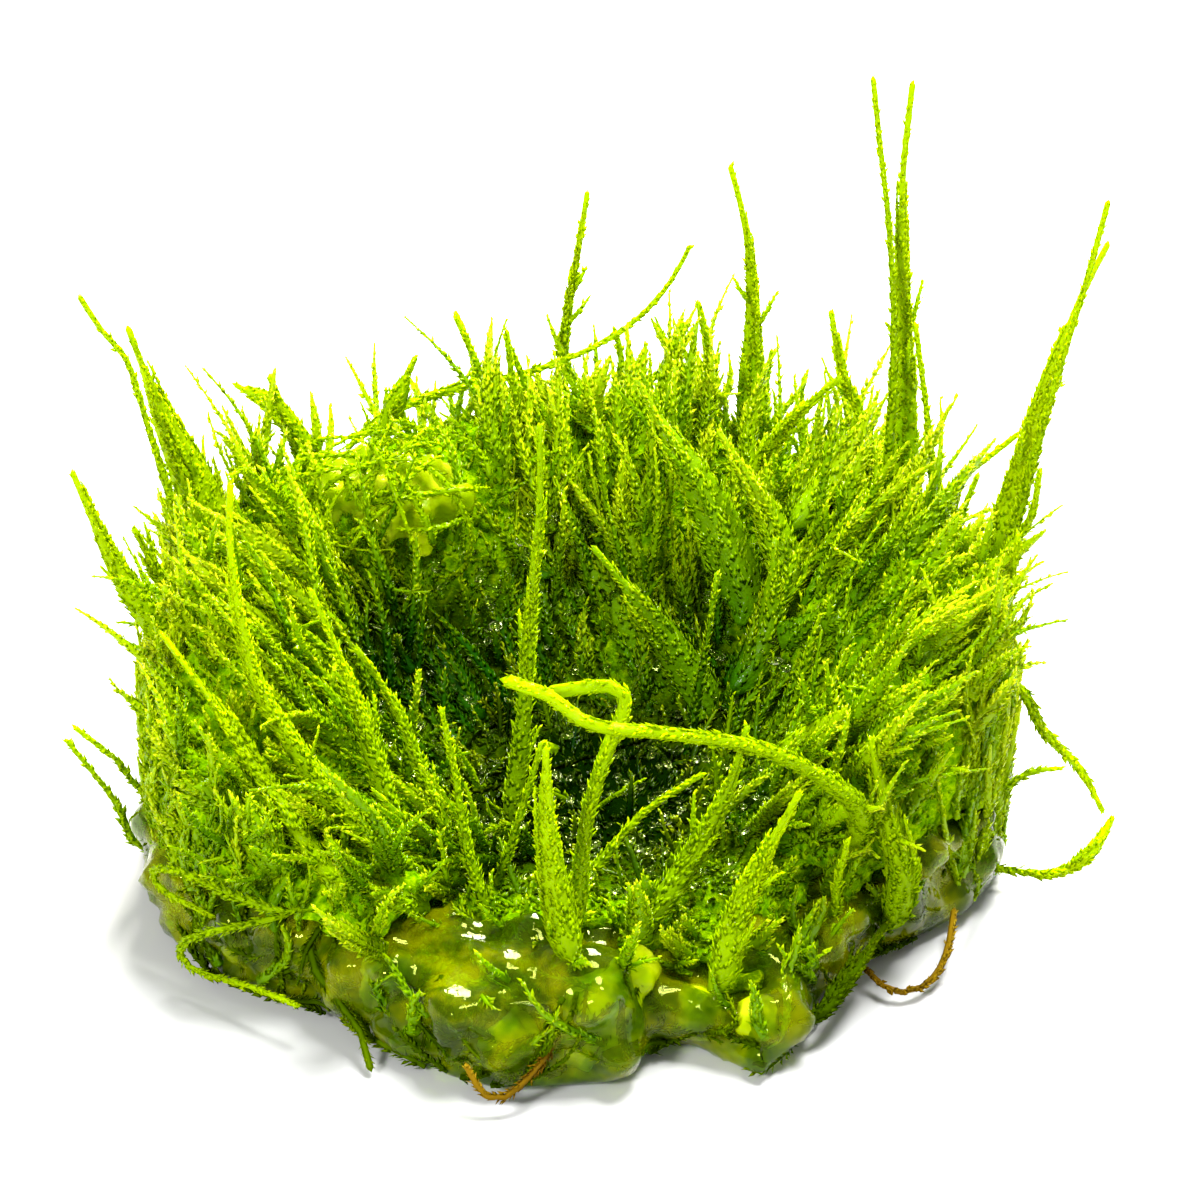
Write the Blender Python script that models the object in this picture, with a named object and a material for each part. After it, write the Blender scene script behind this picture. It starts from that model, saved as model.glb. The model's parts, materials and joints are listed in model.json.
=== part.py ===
# Bogor moss grown on a slab of clear jelly, as it comes out of a round culture cup.
# The jelly is the foot. A horseshoe of dense moss stands on it round a wet hollow,
# and the longer shoots, loops and runners grow out of both.
# All sizes are in millimetres. X runs to the right, Y away from the viewer and Z up,
# and the origin is in the middle of the flat underside.

import math
import random

import bmesh
import bpy
from mathutils import Vector
from mathutils.bvhtree import BVHTree

MM = 0.001

# Gaps between the jelly and the mat, and between a shoot's foot and what it grows from
GAP = 0.35
FOOT_GAP = 0.6

# The jelly's foot tapers in a little, and its top dips to the floor of the hollow
FOOT_CHAMFER = 0.96
FOOT_HEIGHT = 1.2
FLOOR_HEIGHT = 5.8
HOLLOW = Vector((3.0, -2.0, 0.0))

# Bearings are in degrees, counted from +X towards +Y
BEARING_STEP = 6
FIRST_BEARING = -42
MAT_SECTIONS = 47

# Bearing and distance from the origin of the jelly's edge, which was cast in a 60 mm cup
JELLY_EDGE = [
    (0, 30.8), (20, 30.3), (45, 29.8), (70, 30.2), (95, 31.0), (125, 30.3), (150, 30.8),
    (180, 31.0), (196, 31.0), (206, 30.4), (218, 29.4), (226, 26.6), (240, 27.4),
    (256, 29.4), (268, 28.9), (276, 28.0), (282, 24.6), (288, 25.0), (294, 30.2),
    (300, 28.4), (310, 25.4), (324, 24.2), (338, 26.8), (350, 30.0),
]

# Bearing and height of the jelly's top near its edge, and of the moss above it
JELLY_TOP = [
    (0, 10.0), (60, 10.0), (95, 11.0), (118, 17.0), (135, 17.5), (155, 11.0), (190, 9.5),
    (215, 8.5), (245, 8.2), (262, 9.2), (275, 9.2), (284, 6.2), (294, 4.6), (304, 6.5),
    (320, 7.5), (340, 9.0),
]
MOSS_TOP = [
    (0, 21.5), (20, 22.0), (50, 21.5), (75, 22.0), (98, 23.5), (120, 22.5), (155, 22.0),
    (175, 21.0), (188, 19.5), (198, 16.5), (206, 13.6), (218, 11.4), (238, 10.2),
    (245, 9.8), (300, 9.0), (318, 9.8), (328, 12.5), (340, 17.0), (350, 20.0),
]

# How far each ring of the top lies from the hollow's middle, where 1 is the outer edge
LEVELS = [0.18, 0.36, 0.48, 0.60, 0.72, 0.84, 0.93, 1.0]
MAT_LEVELS = LEVELS[1:]
SLOPE_START = 0.30
SLOPE_END = 0.86
TOE_THICKNESS = 1.3

# How far the two outermost rings drop, which rounds the edge
JELLY_DROP = {0.93: 0.4, 1.0: 1.8}
MOSS_DROP = {0.93: 0.8, 1.0: 3.2}

# Locks are points of the mat that stand up from it and lean off the hollow at the rim
LOCK_HEIGHT = (2.2, 4.6)
LOCK_CLEARANCE = 1.3
LOCK_PROBES = (0.35, 0.7, 1.0)
LOCK_SEED = 11
RIM_LEVEL = 0.8
RIM_LEAN = 0.35
SLOPE_LEAN = -0.15
ROOT_REACH = 3.0

# A shoot is a flattened tube with a belly in its lower third
SIDES = 6
STATION_LENGTH = 3.2
CURVE_STEPS = 12
FLATNESS = 0.7
BELLY_SHARE = 0.35
CAST_START = 1.5
CAST_REACH = 12.0

SHARP_ANGLE = 50

# Each shoot: its points from foot to tip, then its width at the foot, belly and tip
LEFT_SHOOTS = {
    "shoot_left_tall": (
        [(-26, 8, 21), (-27.5, 8, 27), (-29.5, 8, 32.5), (-31.3, 8, 38.5)],
        (3.0, 2.5, 0.5),
    ),
    "shoot_left_tall_twin": (
        [(-27.5, 5.2, 21), (-30.1, 5.8, 32), (-31.6, 6, 38), (-33.2, 6, 40), (-34.2, 6, 42)],
        (1.0, 0.9, 0.4),
    ),
    "shoot_left_low": (
        [(-29, -1, 20), (-31, -2, 23.5), (-32.8, -2, 27.3), (-34.5, -2, 32.6)],
        (2.6, 2.0, 0.4),
    ),
    "shoot_left_leafy": ([(-28, 2.6, 20.5), (-29.8, 2.2, 23), (-31, 2, 26)], (1.8, 1.6, 0.4)),
    "shoot_left_small": ([(-28.4, 12.5, 20.3), (-30.2, 12.5, 22.8)], (1.3, 1.0, 0.4)),
    "arch_left_front": (
        [(-16.6, -13.6, 13.4), (-19.2, -12, 17), (-22.2, -9, 21.2), (-23.7, -6, 28.6),
         (-23.8, -3.6, 32)],
        (2.4, 2.0, 0.8),
    ),
    "arch_left_back": (
        [(-19.9, 9.2, 22.4), (-20.6, 8, 24.8), (-21.9, 5, 27.9), (-23.2, 0, 32.2),
         (-23.6, -1.8, 32.8)],
        (1.4, 1.1, 0.8),
    ),
    "shoot_left_band": (
        [(-18.8, -16.4, 12.6), (-21.8, -13.4, 15.9), (-25.2, -9.6, 19.4), (-28.3, -7, 22.6)],
        (2.2, 2.0, 0.5),
    ),
    "stem_left_side": ([(-31.9, -3.5, 4.8), (-33, -4, 7.8), (-35.7, -5, 13)], (1.0, 0.9, 0.4)),
    "stem_left_side_twin": (
        [(-31.9, -0.6, 7.6), (-33.4, -1, 9.6), (-35.5, -1, 11.6)],
        (1.0, 0.8, 0.4),
    ),
    "loop_left_upper": (
        [(-24, -17.2, 8.8), (-25.6, -17.2, 9.6), (-28.1, -15.5, 9.5), (-29.6, -13.5, 7.9),
         (-28.5, -14.6, 7), (-25.6, -16.7, 6.7)],
        (0.9, 0.9, 0.5),
    ),
    "loop_left_lower": (
        [(-23, -19.1, 7.4), (-24.8, -19.4, 7), (-26.8, -18.3, 5.6), (-27.5, -17.3, 3.5),
         (-26, -18.2, 2.8), (-22.4, -20.6, 3.3), (-19.5, -22.7, 3.4)],
        (0.9, 0.9, 0.5),
    ),
}
FRONT_SHOOTS = {
    "shoot_front_left_tall": (
        [(-12.5, -13, 10.5), (-14, -11, 15.5), (-16.3, -9, 22.3), (-18.1, -8, 26.7)],
        (1.8, 1.6, 0.4),
    ),
    "shoot_front_left_branch": (
        [(-11, -9.4, 13.5), (-12.8, -7.6, 17.9), (-15.1, -6, 21)],
        (1.4, 1.2, 0.4),
    ),
    "shoot_front_left_feathery": (
        [(-6.7, -18, 9), (-7.7, -17, 13), (-8.5, -17, 19.2), (-9.1, -17, 22.8)],
        (1.2, 1.1, 0.4),
    ),
    "shoot_front_left_thin": ([(-5.1, -15, 9.5), (-3.7, -15, 14.8), (-2.6, -15, 18.9)], (1.0, 0.9, 0.4)),
    "shoot_centre_tall": (
        [(-4.6, -6, 9.5), (-3.8, -5, 17.5), (-3.4, -4, 24), (-2.7, -3, 31.4), (-2.7, -3, 36.7)],
        (1.8, 1.2, 0.4),
    ),
    "shoot_front_bright": (
        [(-0.9, -25, 10.5), (-1.5, -24, 13.5), (-2, -24, 18.2), (-2.1, -24, 23.5)],
        (2.4, 2.0, 0.9),
    ),
    "shoot_front_hook": (
        [(-0.3, -22.8, 10), (0, -22, 12.5), (0.6, -21, 17.4), (1.9, -20, 21.9), (3.2, -19, 24.8),
         (2.6, -18.8, 26.1), (0.7, -18, 25.6), (-1.1, -18, 25.3)],
        (1.6, 1.0, 0.7),
    ),
    "arch_front": (
        [(18.8, -15.2, 12.4), (18.8, -17, 15.6), (14.8, -19.2, 20.2), (10.6, -21, 23),
         (4.7, -22, 24.5), (0.7, -22, 25), (-1.5, -21, 26.4), (-3.8, -20, 26.8)],
        (1.8, 1.1, 0.9),
    ),
    "shoot_front_middle": ([(1.3, -15.2, 9.5), (4.1, -14, 12.9), (8, -13, 15.3)], (1.2, 1.0, 0.4)),
    "shoot_front_right_inner": (
        [(5.6, -19.5, 9.6), (7.6, -18, 12), (10, -17, 16.9), (11.1, -17, 21.2)],
        (2.4, 2.0, 0.5),
    ),
    "shoot_front_right_outer": (
        [(9.9, -23.8, 7.6), (10.6, -23, 10.6), (12.4, -22, 14.9), (14.3, -22, 19.2)],
        (2.6, 2.2, 0.6),
    ),
    "shoot_front_right_low": (
        [(17.4, -17.8, 9.3), (17.6, -18.3, 10.8), (18, -18.8, 13.6)],
        (1.2, 1.1, 0.4),
    ),
    "shoot_right_front_broad": (
        [(21.6, -14, 6.8), (22.2, -15.2, 8.8), (21.4, -15.2, 12.4), (20.3, -15, 16.4),
         (19.8, -14.8, 18.7)],
        (2.2, 2.6, 0.8),
    ),
    "stem_band_front_right": (
        [(12.4, -29.2, 1.8), (16.2, -23.3, 2.7), (19.1, -18.5, 3.6), (20.6, -16.1, 4.5)],
        (1.4, 2.0, 0.9),
    ),
}
RIGHT_SHOOTS = {
    "shoot_back_right_tall": (
        [(23.1, 15.2, 21.5), (23.4, 15, 30), (22.9, 15, 38), (22.6, 15, 47), (23, 15, 54)],
        (3.0, 1.5, 0.4),
    ),
    "shoot_back_right_twin": (
        [(22, 12.4, 20.8), (22.3, 13, 34), (21.8, 14, 43), (20.9, 14, 50), (20.3, 14, 54.8)],
        (1.2, 0.9, 0.4),
    ),
    "shoot_back_right_side": ([(25.6, 12.2, 21.5), (24.9, 12.6, 29), (23.8, 13, 36.4)], (1.3, 1.1, 0.4)),
    "shoot_right_tall": (
        [(28.6, 4, 21), (30.3, 4, 27.6), (31.9, 4, 35.5), (34.2, 4, 43.2), (35.7, 4, 47)],
        (2.6, 1.6, 0.4),
    ),
    "shoot_right_tall_twin": (
        [(29.2, 1.4, 21), (32.3, 1.7, 36.5), (34.3, 2, 45.3), (35.4, 2, 51)],
        (1.3, 1.0, 0.4),
    ),
    "shoot_right_side_upper": (
        [(26.6, 13.8, 21.4), (27.2, 13.6, 23.6), (31, 12, 28.3)],
        (1.2, 1.0, 0.4),
    ),
    "shoot_right_side_middle": ([(26.6, 9.4, 21.2), (28.2, 9.6, 26.1)], (1.2, 0.9, 0.4)),
    "shoot_right_side_low": ([(29.2, -2, 20), (29.9, -2, 23.8), (30.2, -2, 27.7)], (1.4, 1.1, 0.4)),
    "loop_right_upper": (
        [(31.7, -1, 13.4), (33.2, -1, 11.2), (35.6, -1, 8.5), (36.8, -2, 6.6)],
        (1.1, 1.1, 0.9),
    ),
    "loop_right_lower": (
        [(31.9, -4.4, 1.9), (33.4, -4.8, 2), (35.9, -5, 3.4), (37.1, -4.2, 4.9)],
        (0.7, 0.9, 1.4),
    ),
}
BACK_SHOOTS = {
    "shoot_back_middle_tall": (
        [(12.8, 25, 21.6), (12.6, 26, 26), (12.6, 26, 32.4), (12, 26, 38.5), (11, 26, 42.7)],
        (3.4, 1.5, 0.4),
    ),
    "shoot_back_middle_side": ([(9.4, 22.4, 21.5), (9.6, 23.4, 28), (8.7, 24, 32.7)], (1.3, 1.1, 0.4)),
    "shoot_back_middle_thin": ([(3.3, 28.8, 21.8), (5.9, 29, 25), (7.4, 29, 29)], (1.0, 0.9, 0.4)),
    "shoot_back_left_tall": (
        [(-1.8, 28.4, 22), (-1.1, 29.4, 29), (-0.3, 29.5, 34), (0.4, 29.5, 39)],
        (1.5, 1.1, 0.4),
    ),
    "arch_back": (
        [(-16, 22.4, 21.6), (-14.8, 23.2, 24), (-10.5, 25, 25.2), (-5.3, 26, 26),
         (-0.8, 26, 27.6), (3.3, 26.5, 29.8), (6.2, 27, 32.7), (7.8, 27, 35.8)],
        (1.2, 1.0, 0.4),
    ),
    "shoot_back_left_inner": ([(-4.6, 22.6, 22.4), (-5.4, 23, 30.8)], (1.2, 0.9, 0.4)),
    "shoot_back_left_outer": (
        [(-7.5, 28.4, 22.2), (-8.3, 28.5, 27), (-9.2, 28.5, 29.6)],
        (1.3, 1.0, 0.4),
    ),
    "shoot_back_left_mid": (
        [(-15, 19.4, 21.6), (-14.8, 19.8, 23.8), (-13.7, 20.4, 26.7), (-12.3, 21, 29.7)],
        (1.4, 1.1, 0.4),
    ),
    "shoot_back_left_far": (
        [(-20.4, 19.6, 21.4), (-21, 20.6, 23.6), (-23, 21.6, 25.7), (-24.9, 22, 27)],
        (1.5, 1.3, 0.6),
    ),
    "shoot_back_right_inner": (
        [(21.4, 18.8, 21.5), (20.8, 19.4, 25.6), (19.3, 19.6, 29), (18.2, 19.8, 34)],
        (1.5, 1.1, 0.4),
    ),
    "shoot_back_right_fuzzy": (
        [(13, 19.6, 21.5), (15.3, 18.5, 26.3), (18.4, 17.4, 30)],
        (1.6, 1.4, 0.5),
    ),
}
HOLLOW_SHOOTS = {
    "shoot_hollow_left": ([(-12.3, -5, 10.5), (-11.7, -5, 14.2), (-11.2, -5, 18.5)], (1.4, 1.1, 0.4)),
    "tuft_hollow_back": (
        [(12, 13, 15), (9.1, 15, 21.6), (6.1, 17, 26.3), (4.5, 18, 29)],
        (3.6, 3.4, 0.8),
    ),
    "tuft_hollow_back_right": (
        [(15.6, 11.6, 16.4), (13.2, 13.6, 22.1), (10.4, 15, 26.5)],
        (3.2, 2.8, 0.7),
    ),
    "tuft_hollow_lit": ([(9, 8, 9), (5.4, 8.5, 14.9), (1.4, 9, 20.3)], (2.6, 2.6, 0.7)),
    "shoot_hollow_right": ([(8.2, 4.6, 9.6), (9, 5, 15), (9.7, 5.4, 20.4)], (1.4, 1.1, 0.4)),
    "tuft_hollow_right": ([(12.2, 7.2, 9.2), (13.6, 9, 14.3), (14, 10, 20.2)], (2.6, 2.8, 0.7)),
    "tuft_hollow_dark": ([(16.9, 14.6, 20.5), (19.2, 16, 24.3), (21, 17, 27.6)], (2.8, 2.6, 0.8)),
}
RUNNERS = {
    "runner_right": (
        [(20.2, -16.8, 1.4), (21.6, -18, 1.1), (23.5, -17.5, 1), (25, -15.2, 1.1),
         (25.8, -12.6, 1.5), (26.2, -10.4, 2.2)],
        (0.6, 0.6, 0.4),
    ),
    "runner_front": (
        [(-3.2, -29.7, 2.8), (-4, -30.7, 2.2), (-5.2, -31, 1.5), (-6.4, -31, 2), (-7.2, -30.6, 3.4)],
        (0.6, 0.6, 0.4),
    ),
    "runner_front_left": ([(-16.6, -22, 3.8), (-15, -24, 2.4), (-14.2, -26, 1)], (0.9, 0.9, 0.5)),
}


def by_bearing(pairs, bearing):
    """The value at a bearing, in a straight line between the two pairs on either side of it."""
    bearing %= 360
    ring = [*pairs, (pairs[0][0] + 360, pairs[0][1])]
    for (low, first), (high, second) in zip(ring, ring[1:]):
        if low <= bearing <= high:
            share = (bearing - low) / (high - low)
            return first + (second - first) * share
    raise ValueError(bearing)


def eased(share):
    """A slope from 0 to 1 that starts and ends level."""
    share = min(max(share, 0.0), 1.0)
    return share * share * (3 - 2 * share)


def edge_point(bearing):
    radius = by_bearing(JELLY_EDGE, bearing)
    angle = math.radians(bearing)
    return Vector((radius * math.cos(angle), radius * math.sin(angle), 0.0))


def plan_point(bearing, level):
    """A point of the plan: level 0 is the hollow's middle and level 1 the outer edge."""
    return HOLLOW.lerp(edge_point(bearing), level)


def slope_height(low, high, level):
    return low + (high - low) * eased((level - SLOPE_START) / (SLOPE_END - SLOPE_START))


def jelly_height(bearing, level):
    """The height of the jelly's top, which dips to the hollow's floor and rounds off at the edge."""
    height = slope_height(FLOOR_HEIGHT, by_bearing(JELLY_TOP, bearing), level)
    return height - JELLY_DROP.get(level, 0.0)


def moss_height(bearing, level):
    """The height of the mat's top, never thinner than its toe."""
    height = slope_height(FLOOR_HEIGHT + TOE_THICKNESS, by_bearing(MOSS_TOP, bearing), level)
    height -= MOSS_DROP.get(level, 0.0)
    return max(height, jelly_height(bearing, level) + GAP + TOE_THICKNESS)


def make_material(name, colour, roughness, see_through=0.0):
    material = bpy.data.materials.new(name)
    material.use_nodes = True
    shader = material.node_tree.nodes["Principled BSDF"]
    shader.inputs["Base Color"].default_value = (*colour, 1.0)
    shader.inputs["Roughness"].default_value = roughness
    shader.inputs["Transmission Weight"].default_value = see_through
    return material


def mesh_of(name, shape):
    bmesh.ops.recalc_face_normals(shape, faces=shape.faces)
    mesh = bpy.data.meshes.new(name)
    shape.to_mesh(mesh)
    shape.free()
    return mesh


def add_object(name, shape, material):
    mesh = mesh_of(name, shape)
    mesh.shade_smooth()
    mesh.set_sharp_from_angle(angle=math.radians(SHARP_ANGLE))
    mesh.materials.append(material)
    thing = bpy.data.objects.new(name, mesh)
    bpy.context.scene.collection.objects.link(thing)
    return thing


def ring_of(shape, points):
    return [shape.verts.new(point * MM) for point in points]


def bridge(shape, first, second, closed=True):
    """Two triangles between each pair of neighbours, always split the same way."""
    count = len(first) if closed else len(first) - 1
    for i in range(count):
        j = (i + 1) % len(first)
        shape.faces.new((first[i], first[j], second[i]))
        shape.faces.new((first[j], second[j], second[i]))


def make_jelly(material):
    """Concentric rings from the hollow's middle out to the edge, a wall and a flat underside."""
    shape = bmesh.new()
    bearings = [FIRST_BEARING + BEARING_STEP * i for i in range(360 // BEARING_STEP)]
    rings = []
    for level in LEVELS:
        points = [plan_point(b, level) + Vector((0, 0, jelly_height(b, level))) for b in bearings]
        rings.append(ring_of(shape, points))
    rings.append(ring_of(shape, [plan_point(b, 1.0) + Vector((0, 0, FOOT_HEIGHT)) for b in bearings]))
    rings.append(ring_of(shape, [plan_point(b, FOOT_CHAMFER) for b in bearings]))
    middle = shape.verts.new((HOLLOW + Vector((0, 0, FLOOR_HEIGHT))) * MM)
    for i, vert in enumerate(rings[0]):
        shape.faces.new((middle, vert, rings[0][(i + 1) % len(bearings)]))
    for inner, outer in zip(rings, rings[1:]):
        bridge(shape, inner, outer)
    shape.faces.new(rings[-1])
    return add_object("jelly_slab", shape, material)


def distance_to_shoots(point, shoots):
    """The clearance from a point to the nearest shoot's side."""
    nearest = math.inf
    for points, widths in shoots.values():
        line = [Vector(p) for p in points]
        root = line[0] - (line[1] - line[0]).normalized() * ROOT_REACH
        for a, b in zip([root, *line], line):
            along = min(max((point - a).dot(b - a) / (b - a).length_squared, 0.0), 1.0)
            nearest = min(nearest, (point - a.lerp(b, along)).length - max(widths[:2]) / 2)
    return nearest


def lock_of(random_source, bearing, level, base, shoots):
    """Where a lock's point stands over its base, or the base itself where a shoot is in the way."""
    outward = (edge_point(bearing) - HOLLOW).normalized()
    lean = RIM_LEAN if level >= RIM_LEVEL else SLOPE_LEAN
    height = random_source.uniform(*LOCK_HEIGHT)
    tip = base + Vector((0, 0, height)) + outward * height * lean
    for share in LOCK_PROBES:
        if distance_to_shoots(base.lerp(tip, share), shoots) < LOCK_CLEARANCE:
            return base
    return tip


def make_mat(material, shoots):
    """A horseshoe on the jelly: its underside follows the jelly's top, and locks stand up from its own."""
    shape = bmesh.new()
    random_source = random.Random(LOCK_SEED)
    tops, unders = [], []
    for section in range(MAT_SECTIONS + 1):
        bearing = FIRST_BEARING + BEARING_STEP * section
        top, under = [], []
        for number, level in enumerate(MAT_LEVELS):
            place = plan_point(bearing, level)
            under.append(place + Vector((0, 0, jelly_height(bearing, level) + GAP)))
            point = place + Vector((0, 0, moss_height(bearing, level)))
            inside = 0 < section < MAT_SECTIONS and 1 < number < len(MAT_LEVELS) - 1
            if inside and (section + number) % 2 == 0:
                point = lock_of(random_source, bearing, level, point, shoots)
            top.append(point)
        tops.append(ring_of(shape, top))
        unders.append(ring_of(shape, under))
    for top, under, next_top, next_under in zip(tops, unders, tops[1:], unders[1:]):
        bridge(shape, top, next_top, closed=False)
        bridge(shape, under, next_under, closed=False)
        for side in (0, -1):
            shape.faces.new((top[side], next_top[side], under[side]))
            shape.faces.new((next_top[side], next_under[side], under[side]))
    for section in (0, -1):
        end = shape.faces.new(tops[section] + unders[section][::-1])
        bmesh.ops.triangulate(shape, faces=[end])
    return add_object("moss_mat", shape, material)


def clear_of(ground, point, distance):
    """Whether a point lies outside the ground and at least this far from it."""
    hit, normal, _, _ = ground.ray_cast(point * MM, Vector((0, 0, 1)))
    inside = hit is not None and normal.z > 0
    return not inside and ground.find_nearest(point * MM)[3] > distance * MM


def smooth_path(points, ground, clearance):
    """Evenly spaced points on a smooth curve through a shoot's points, from where it leaves the ground."""
    ends = [points[0] * 2 - points[1], *points, points[-1] * 2 - points[-2]]
    fine = []
    for a, b, c, d in zip(ends, ends[1:], ends[2:], ends[3:]):
        for i in range(CURVE_STEPS):
            t = i / CURVE_STEPS
            curve = 2 * b + (c - a) * t + (2 * a - 5 * b + 4 * c - d) * t**2 + (3 * b - a - 3 * c + d) * t**3
            fine.append(curve / 2)
    fine.append(points[-1])
    lower_third = range(len(fine) // 3)
    buried = [i for i in lower_third if not clear_of(ground, fine[i], clearance)]
    if buried:
        fine = fine[buried[-1] + 1 :]
    travelled = [0.0]
    for first, second in zip(fine, fine[1:]):
        travelled.append(travelled[-1] + (second - first).length)
    stations = max(3, round(travelled[-1] / STATION_LENGTH), 2 * (len(points) - 1)) + 1
    path, place = [], 0
    for station in range(stations):
        goal = travelled[-1] * station / (stations - 1)
        while place < len(fine) - 2 and travelled[place + 1] < goal:
            place += 1
        share = (goal - travelled[place]) / (travelled[place + 1] - travelled[place])
        path.append(fine[place].lerp(fine[place + 1], share))
    return path


def width_at(widths, share):
    """The width at a share of the length: from the foot to the belly, then on to the tip."""
    foot, belly, tip = widths
    if share < BELLY_SHARE:
        return foot + (belly - foot) * share / BELLY_SHARE
    return belly + (tip - belly) * (share - BELLY_SHARE) / (1 - BELLY_SHARE)


def foot_corner(corner, rootward, ground):
    """The foot's corner moved along the shoot's own line until it is a gap off the ground."""
    start = corner - rootward * CAST_START
    hit, normal, _, _ = ground.ray_cast(start * MM, rootward, CAST_REACH * MM)
    if hit is None:
        return corner
    return hit / MM + normal * FOOT_GAP


def make_shoot(name, points, widths, material, ground):
    """A flattened tube along the path, pointed at its tip, with its foot just clear of what it grows from."""
    path = smooth_path([Vector(p) for p in points], ground, FOOT_GAP + widths[0] / 2)
    rootward = (path[0] - path[1]).normalized()
    shape = bmesh.new()
    rings = []
    for number, centre in enumerate(path):
        before, after = path[max(number - 1, 0)], path[min(number + 1, len(path) - 1)]
        along = (after - before).normalized()
        depth = Vector((0, 1, 0))
        depth = (depth - along * depth.dot(along)).normalized()
        across = along.cross(depth)
        half = width_at(widths, number / (len(path) - 1)) / 2
        corners = []
        for side in range(SIDES):
            angle = math.tau * side / SIDES
            corners.append(centre + (across * math.cos(angle) + depth * FLATNESS * math.sin(angle)) * half)
        if number == 0:
            corners = [foot_corner(corner, rootward, ground) for corner in corners]
        rings.append(ring_of(shape, corners))
    for lower, upper in zip(rings, rings[1:]):
        bridge(shape, lower, upper)
    direction = (path[-1] - path[-2]).normalized()
    tip = shape.verts.new((path[-1] + direction * widths[2]) * MM)
    for i, vert in enumerate(rings[-1]):
        shape.faces.new((vert, rings[-1][(i + 1) % SIDES], tip))
    foot = shape.faces.new(rings[0][::-1])
    bmesh.ops.triangulate(shape, faces=[foot])
    add_object(name, shape, material)


def ground_of(things):
    """One tree of all the faces that a shoot may grow from."""
    corners, faces = [], []
    for thing in things:
        first = len(corners)
        corners += [vert.co.copy() for vert in thing.data.vertices]
        faces += [[first + i for i in polygon.vertices] for polygon in thing.data.polygons]
    return BVHTree.FromPolygons(corners, faces)


def main():
    for thing in list(bpy.data.objects):
        bpy.data.objects.remove(thing)
    jelly = make_material("jelly", (0.42, 0.50, 0.03), 0.12, see_through=0.8)
    moss = make_material("moss", (0.20, 0.42, 0.01), 0.45)
    young_moss = make_material("young_moss", (0.38, 0.62, 0.01), 0.45)
    old_runner = make_material("old_runner", (0.26, 0.12, 0.02), 0.55)
    families = [
        (LEFT_SHOOTS, young_moss), (FRONT_SHOOTS, young_moss), (RIGHT_SHOOTS, young_moss),
        (BACK_SHOOTS, young_moss), (HOLLOW_SHOOTS, moss), (RUNNERS, old_runner),
    ]
    every_shoot = {name: form for family, _ in families for name, form in family.items()}
    slab = make_jelly(jelly)
    mat = make_mat(moss, every_shoot)
    ground = ground_of([slab, mat])
    for family, material in families:
        for name, (points, widths) in family.items():
            make_shoot(name, points, widths, material, ground)


main()
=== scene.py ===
# %% [markdown]
# # Bogor moss on its slab of clear jelly
# This is a clump of aquarium moss as it comes out of a 60 mm culture cup. The foot is a lumpy
# slab of clear jelly. Hundreds of leafy stems stand on it in a horseshoe round a wet hollow,
# and water sticks many of them together into pointed locks.
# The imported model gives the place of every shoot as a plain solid. Here each solid gets its
# real surface: stems made of thousands of small closed leaves, and jelly that lets light in.

import json
import math

import bmesh
import bpy
import numpy as np
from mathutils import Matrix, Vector
from mathutils.bvhtree import BVHTree


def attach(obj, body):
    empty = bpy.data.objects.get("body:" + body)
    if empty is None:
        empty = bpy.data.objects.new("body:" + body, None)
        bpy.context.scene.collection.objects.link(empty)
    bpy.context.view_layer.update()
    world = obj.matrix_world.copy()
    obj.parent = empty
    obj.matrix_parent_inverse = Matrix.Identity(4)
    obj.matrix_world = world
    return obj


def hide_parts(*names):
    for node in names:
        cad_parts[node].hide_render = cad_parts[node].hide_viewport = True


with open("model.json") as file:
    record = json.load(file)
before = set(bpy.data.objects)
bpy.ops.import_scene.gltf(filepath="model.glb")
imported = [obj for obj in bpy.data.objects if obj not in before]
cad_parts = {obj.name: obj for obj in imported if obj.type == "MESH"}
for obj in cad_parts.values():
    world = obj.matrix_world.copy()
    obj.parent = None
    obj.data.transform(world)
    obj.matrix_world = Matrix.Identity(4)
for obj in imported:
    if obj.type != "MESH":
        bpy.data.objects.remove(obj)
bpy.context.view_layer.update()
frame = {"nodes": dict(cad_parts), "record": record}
MM = 0.001
print("nodes in the frame:", len(frame["nodes"]))

# %% [markdown]
# ## Camera
# The photograph was taken with a long lens from about 30 degrees above the table, so the near
# and far rims are almost the same size. A lens of 135 mm at 315 mm gives that view.

# %% Place the camera
CAMERA_PLACE = Vector((1.4, -272.8, 179.3)) * MM
CAMERA_TILT = math.radians(60)
LENS, SENSOR_WIDTH, NEAREST_SEEN = 135.0, 36.0, 0.01

camera_data = bpy.data.cameras.new("camera")
camera_data.lens = LENS
camera_data.sensor_width = SENSOR_WIDTH
camera_data.clip_start = NEAREST_SEEN
camera = bpy.data.objects.new("camera", camera_data)
camera.location = CAMERA_PLACE
camera.rotation_euler = (CAMERA_TILT, 0.0, 0.0)
bpy.context.scene.collection.objects.link(camera)
bpy.context.scene.camera = camera
print("camera height in mm:", round(camera.location.z / MM, 1))

# %% [markdown]
# ## Floor and light
# The clump stands on a white table under soft light. A large part of the light comes from
# above and behind, so that thin leaves and the jelly glow. A white sky does the filling, and
# area lamps of the size of a plate give the wet leaves their small highlights. A picture of a
# studio could light the clump too, but lamps can be moved and set one by one.

# %% Colours, floor, sky and lamps
SKY_STRENGTH = 0.50
TABLE_COLOUR, TABLE_ROUGHNESS, TABLE_RADIUS = "#CACACA", 0.6, 1.5
# Name, place and width in metres, power in watts, tint
LAMPS = [
    ("lamp_behind", (0.08, 0.42, 0.42), 0.28, 12.4, "#FFFDF2"),
    ("lamp_above", (0.12, 0.02, 0.55), 0.20, 5.0, "#FFFFFF"),
    ("lamp_front", (-0.30, -0.42, 0.34), 0.12, 3.6, "#FFFFFF"),
]


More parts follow.
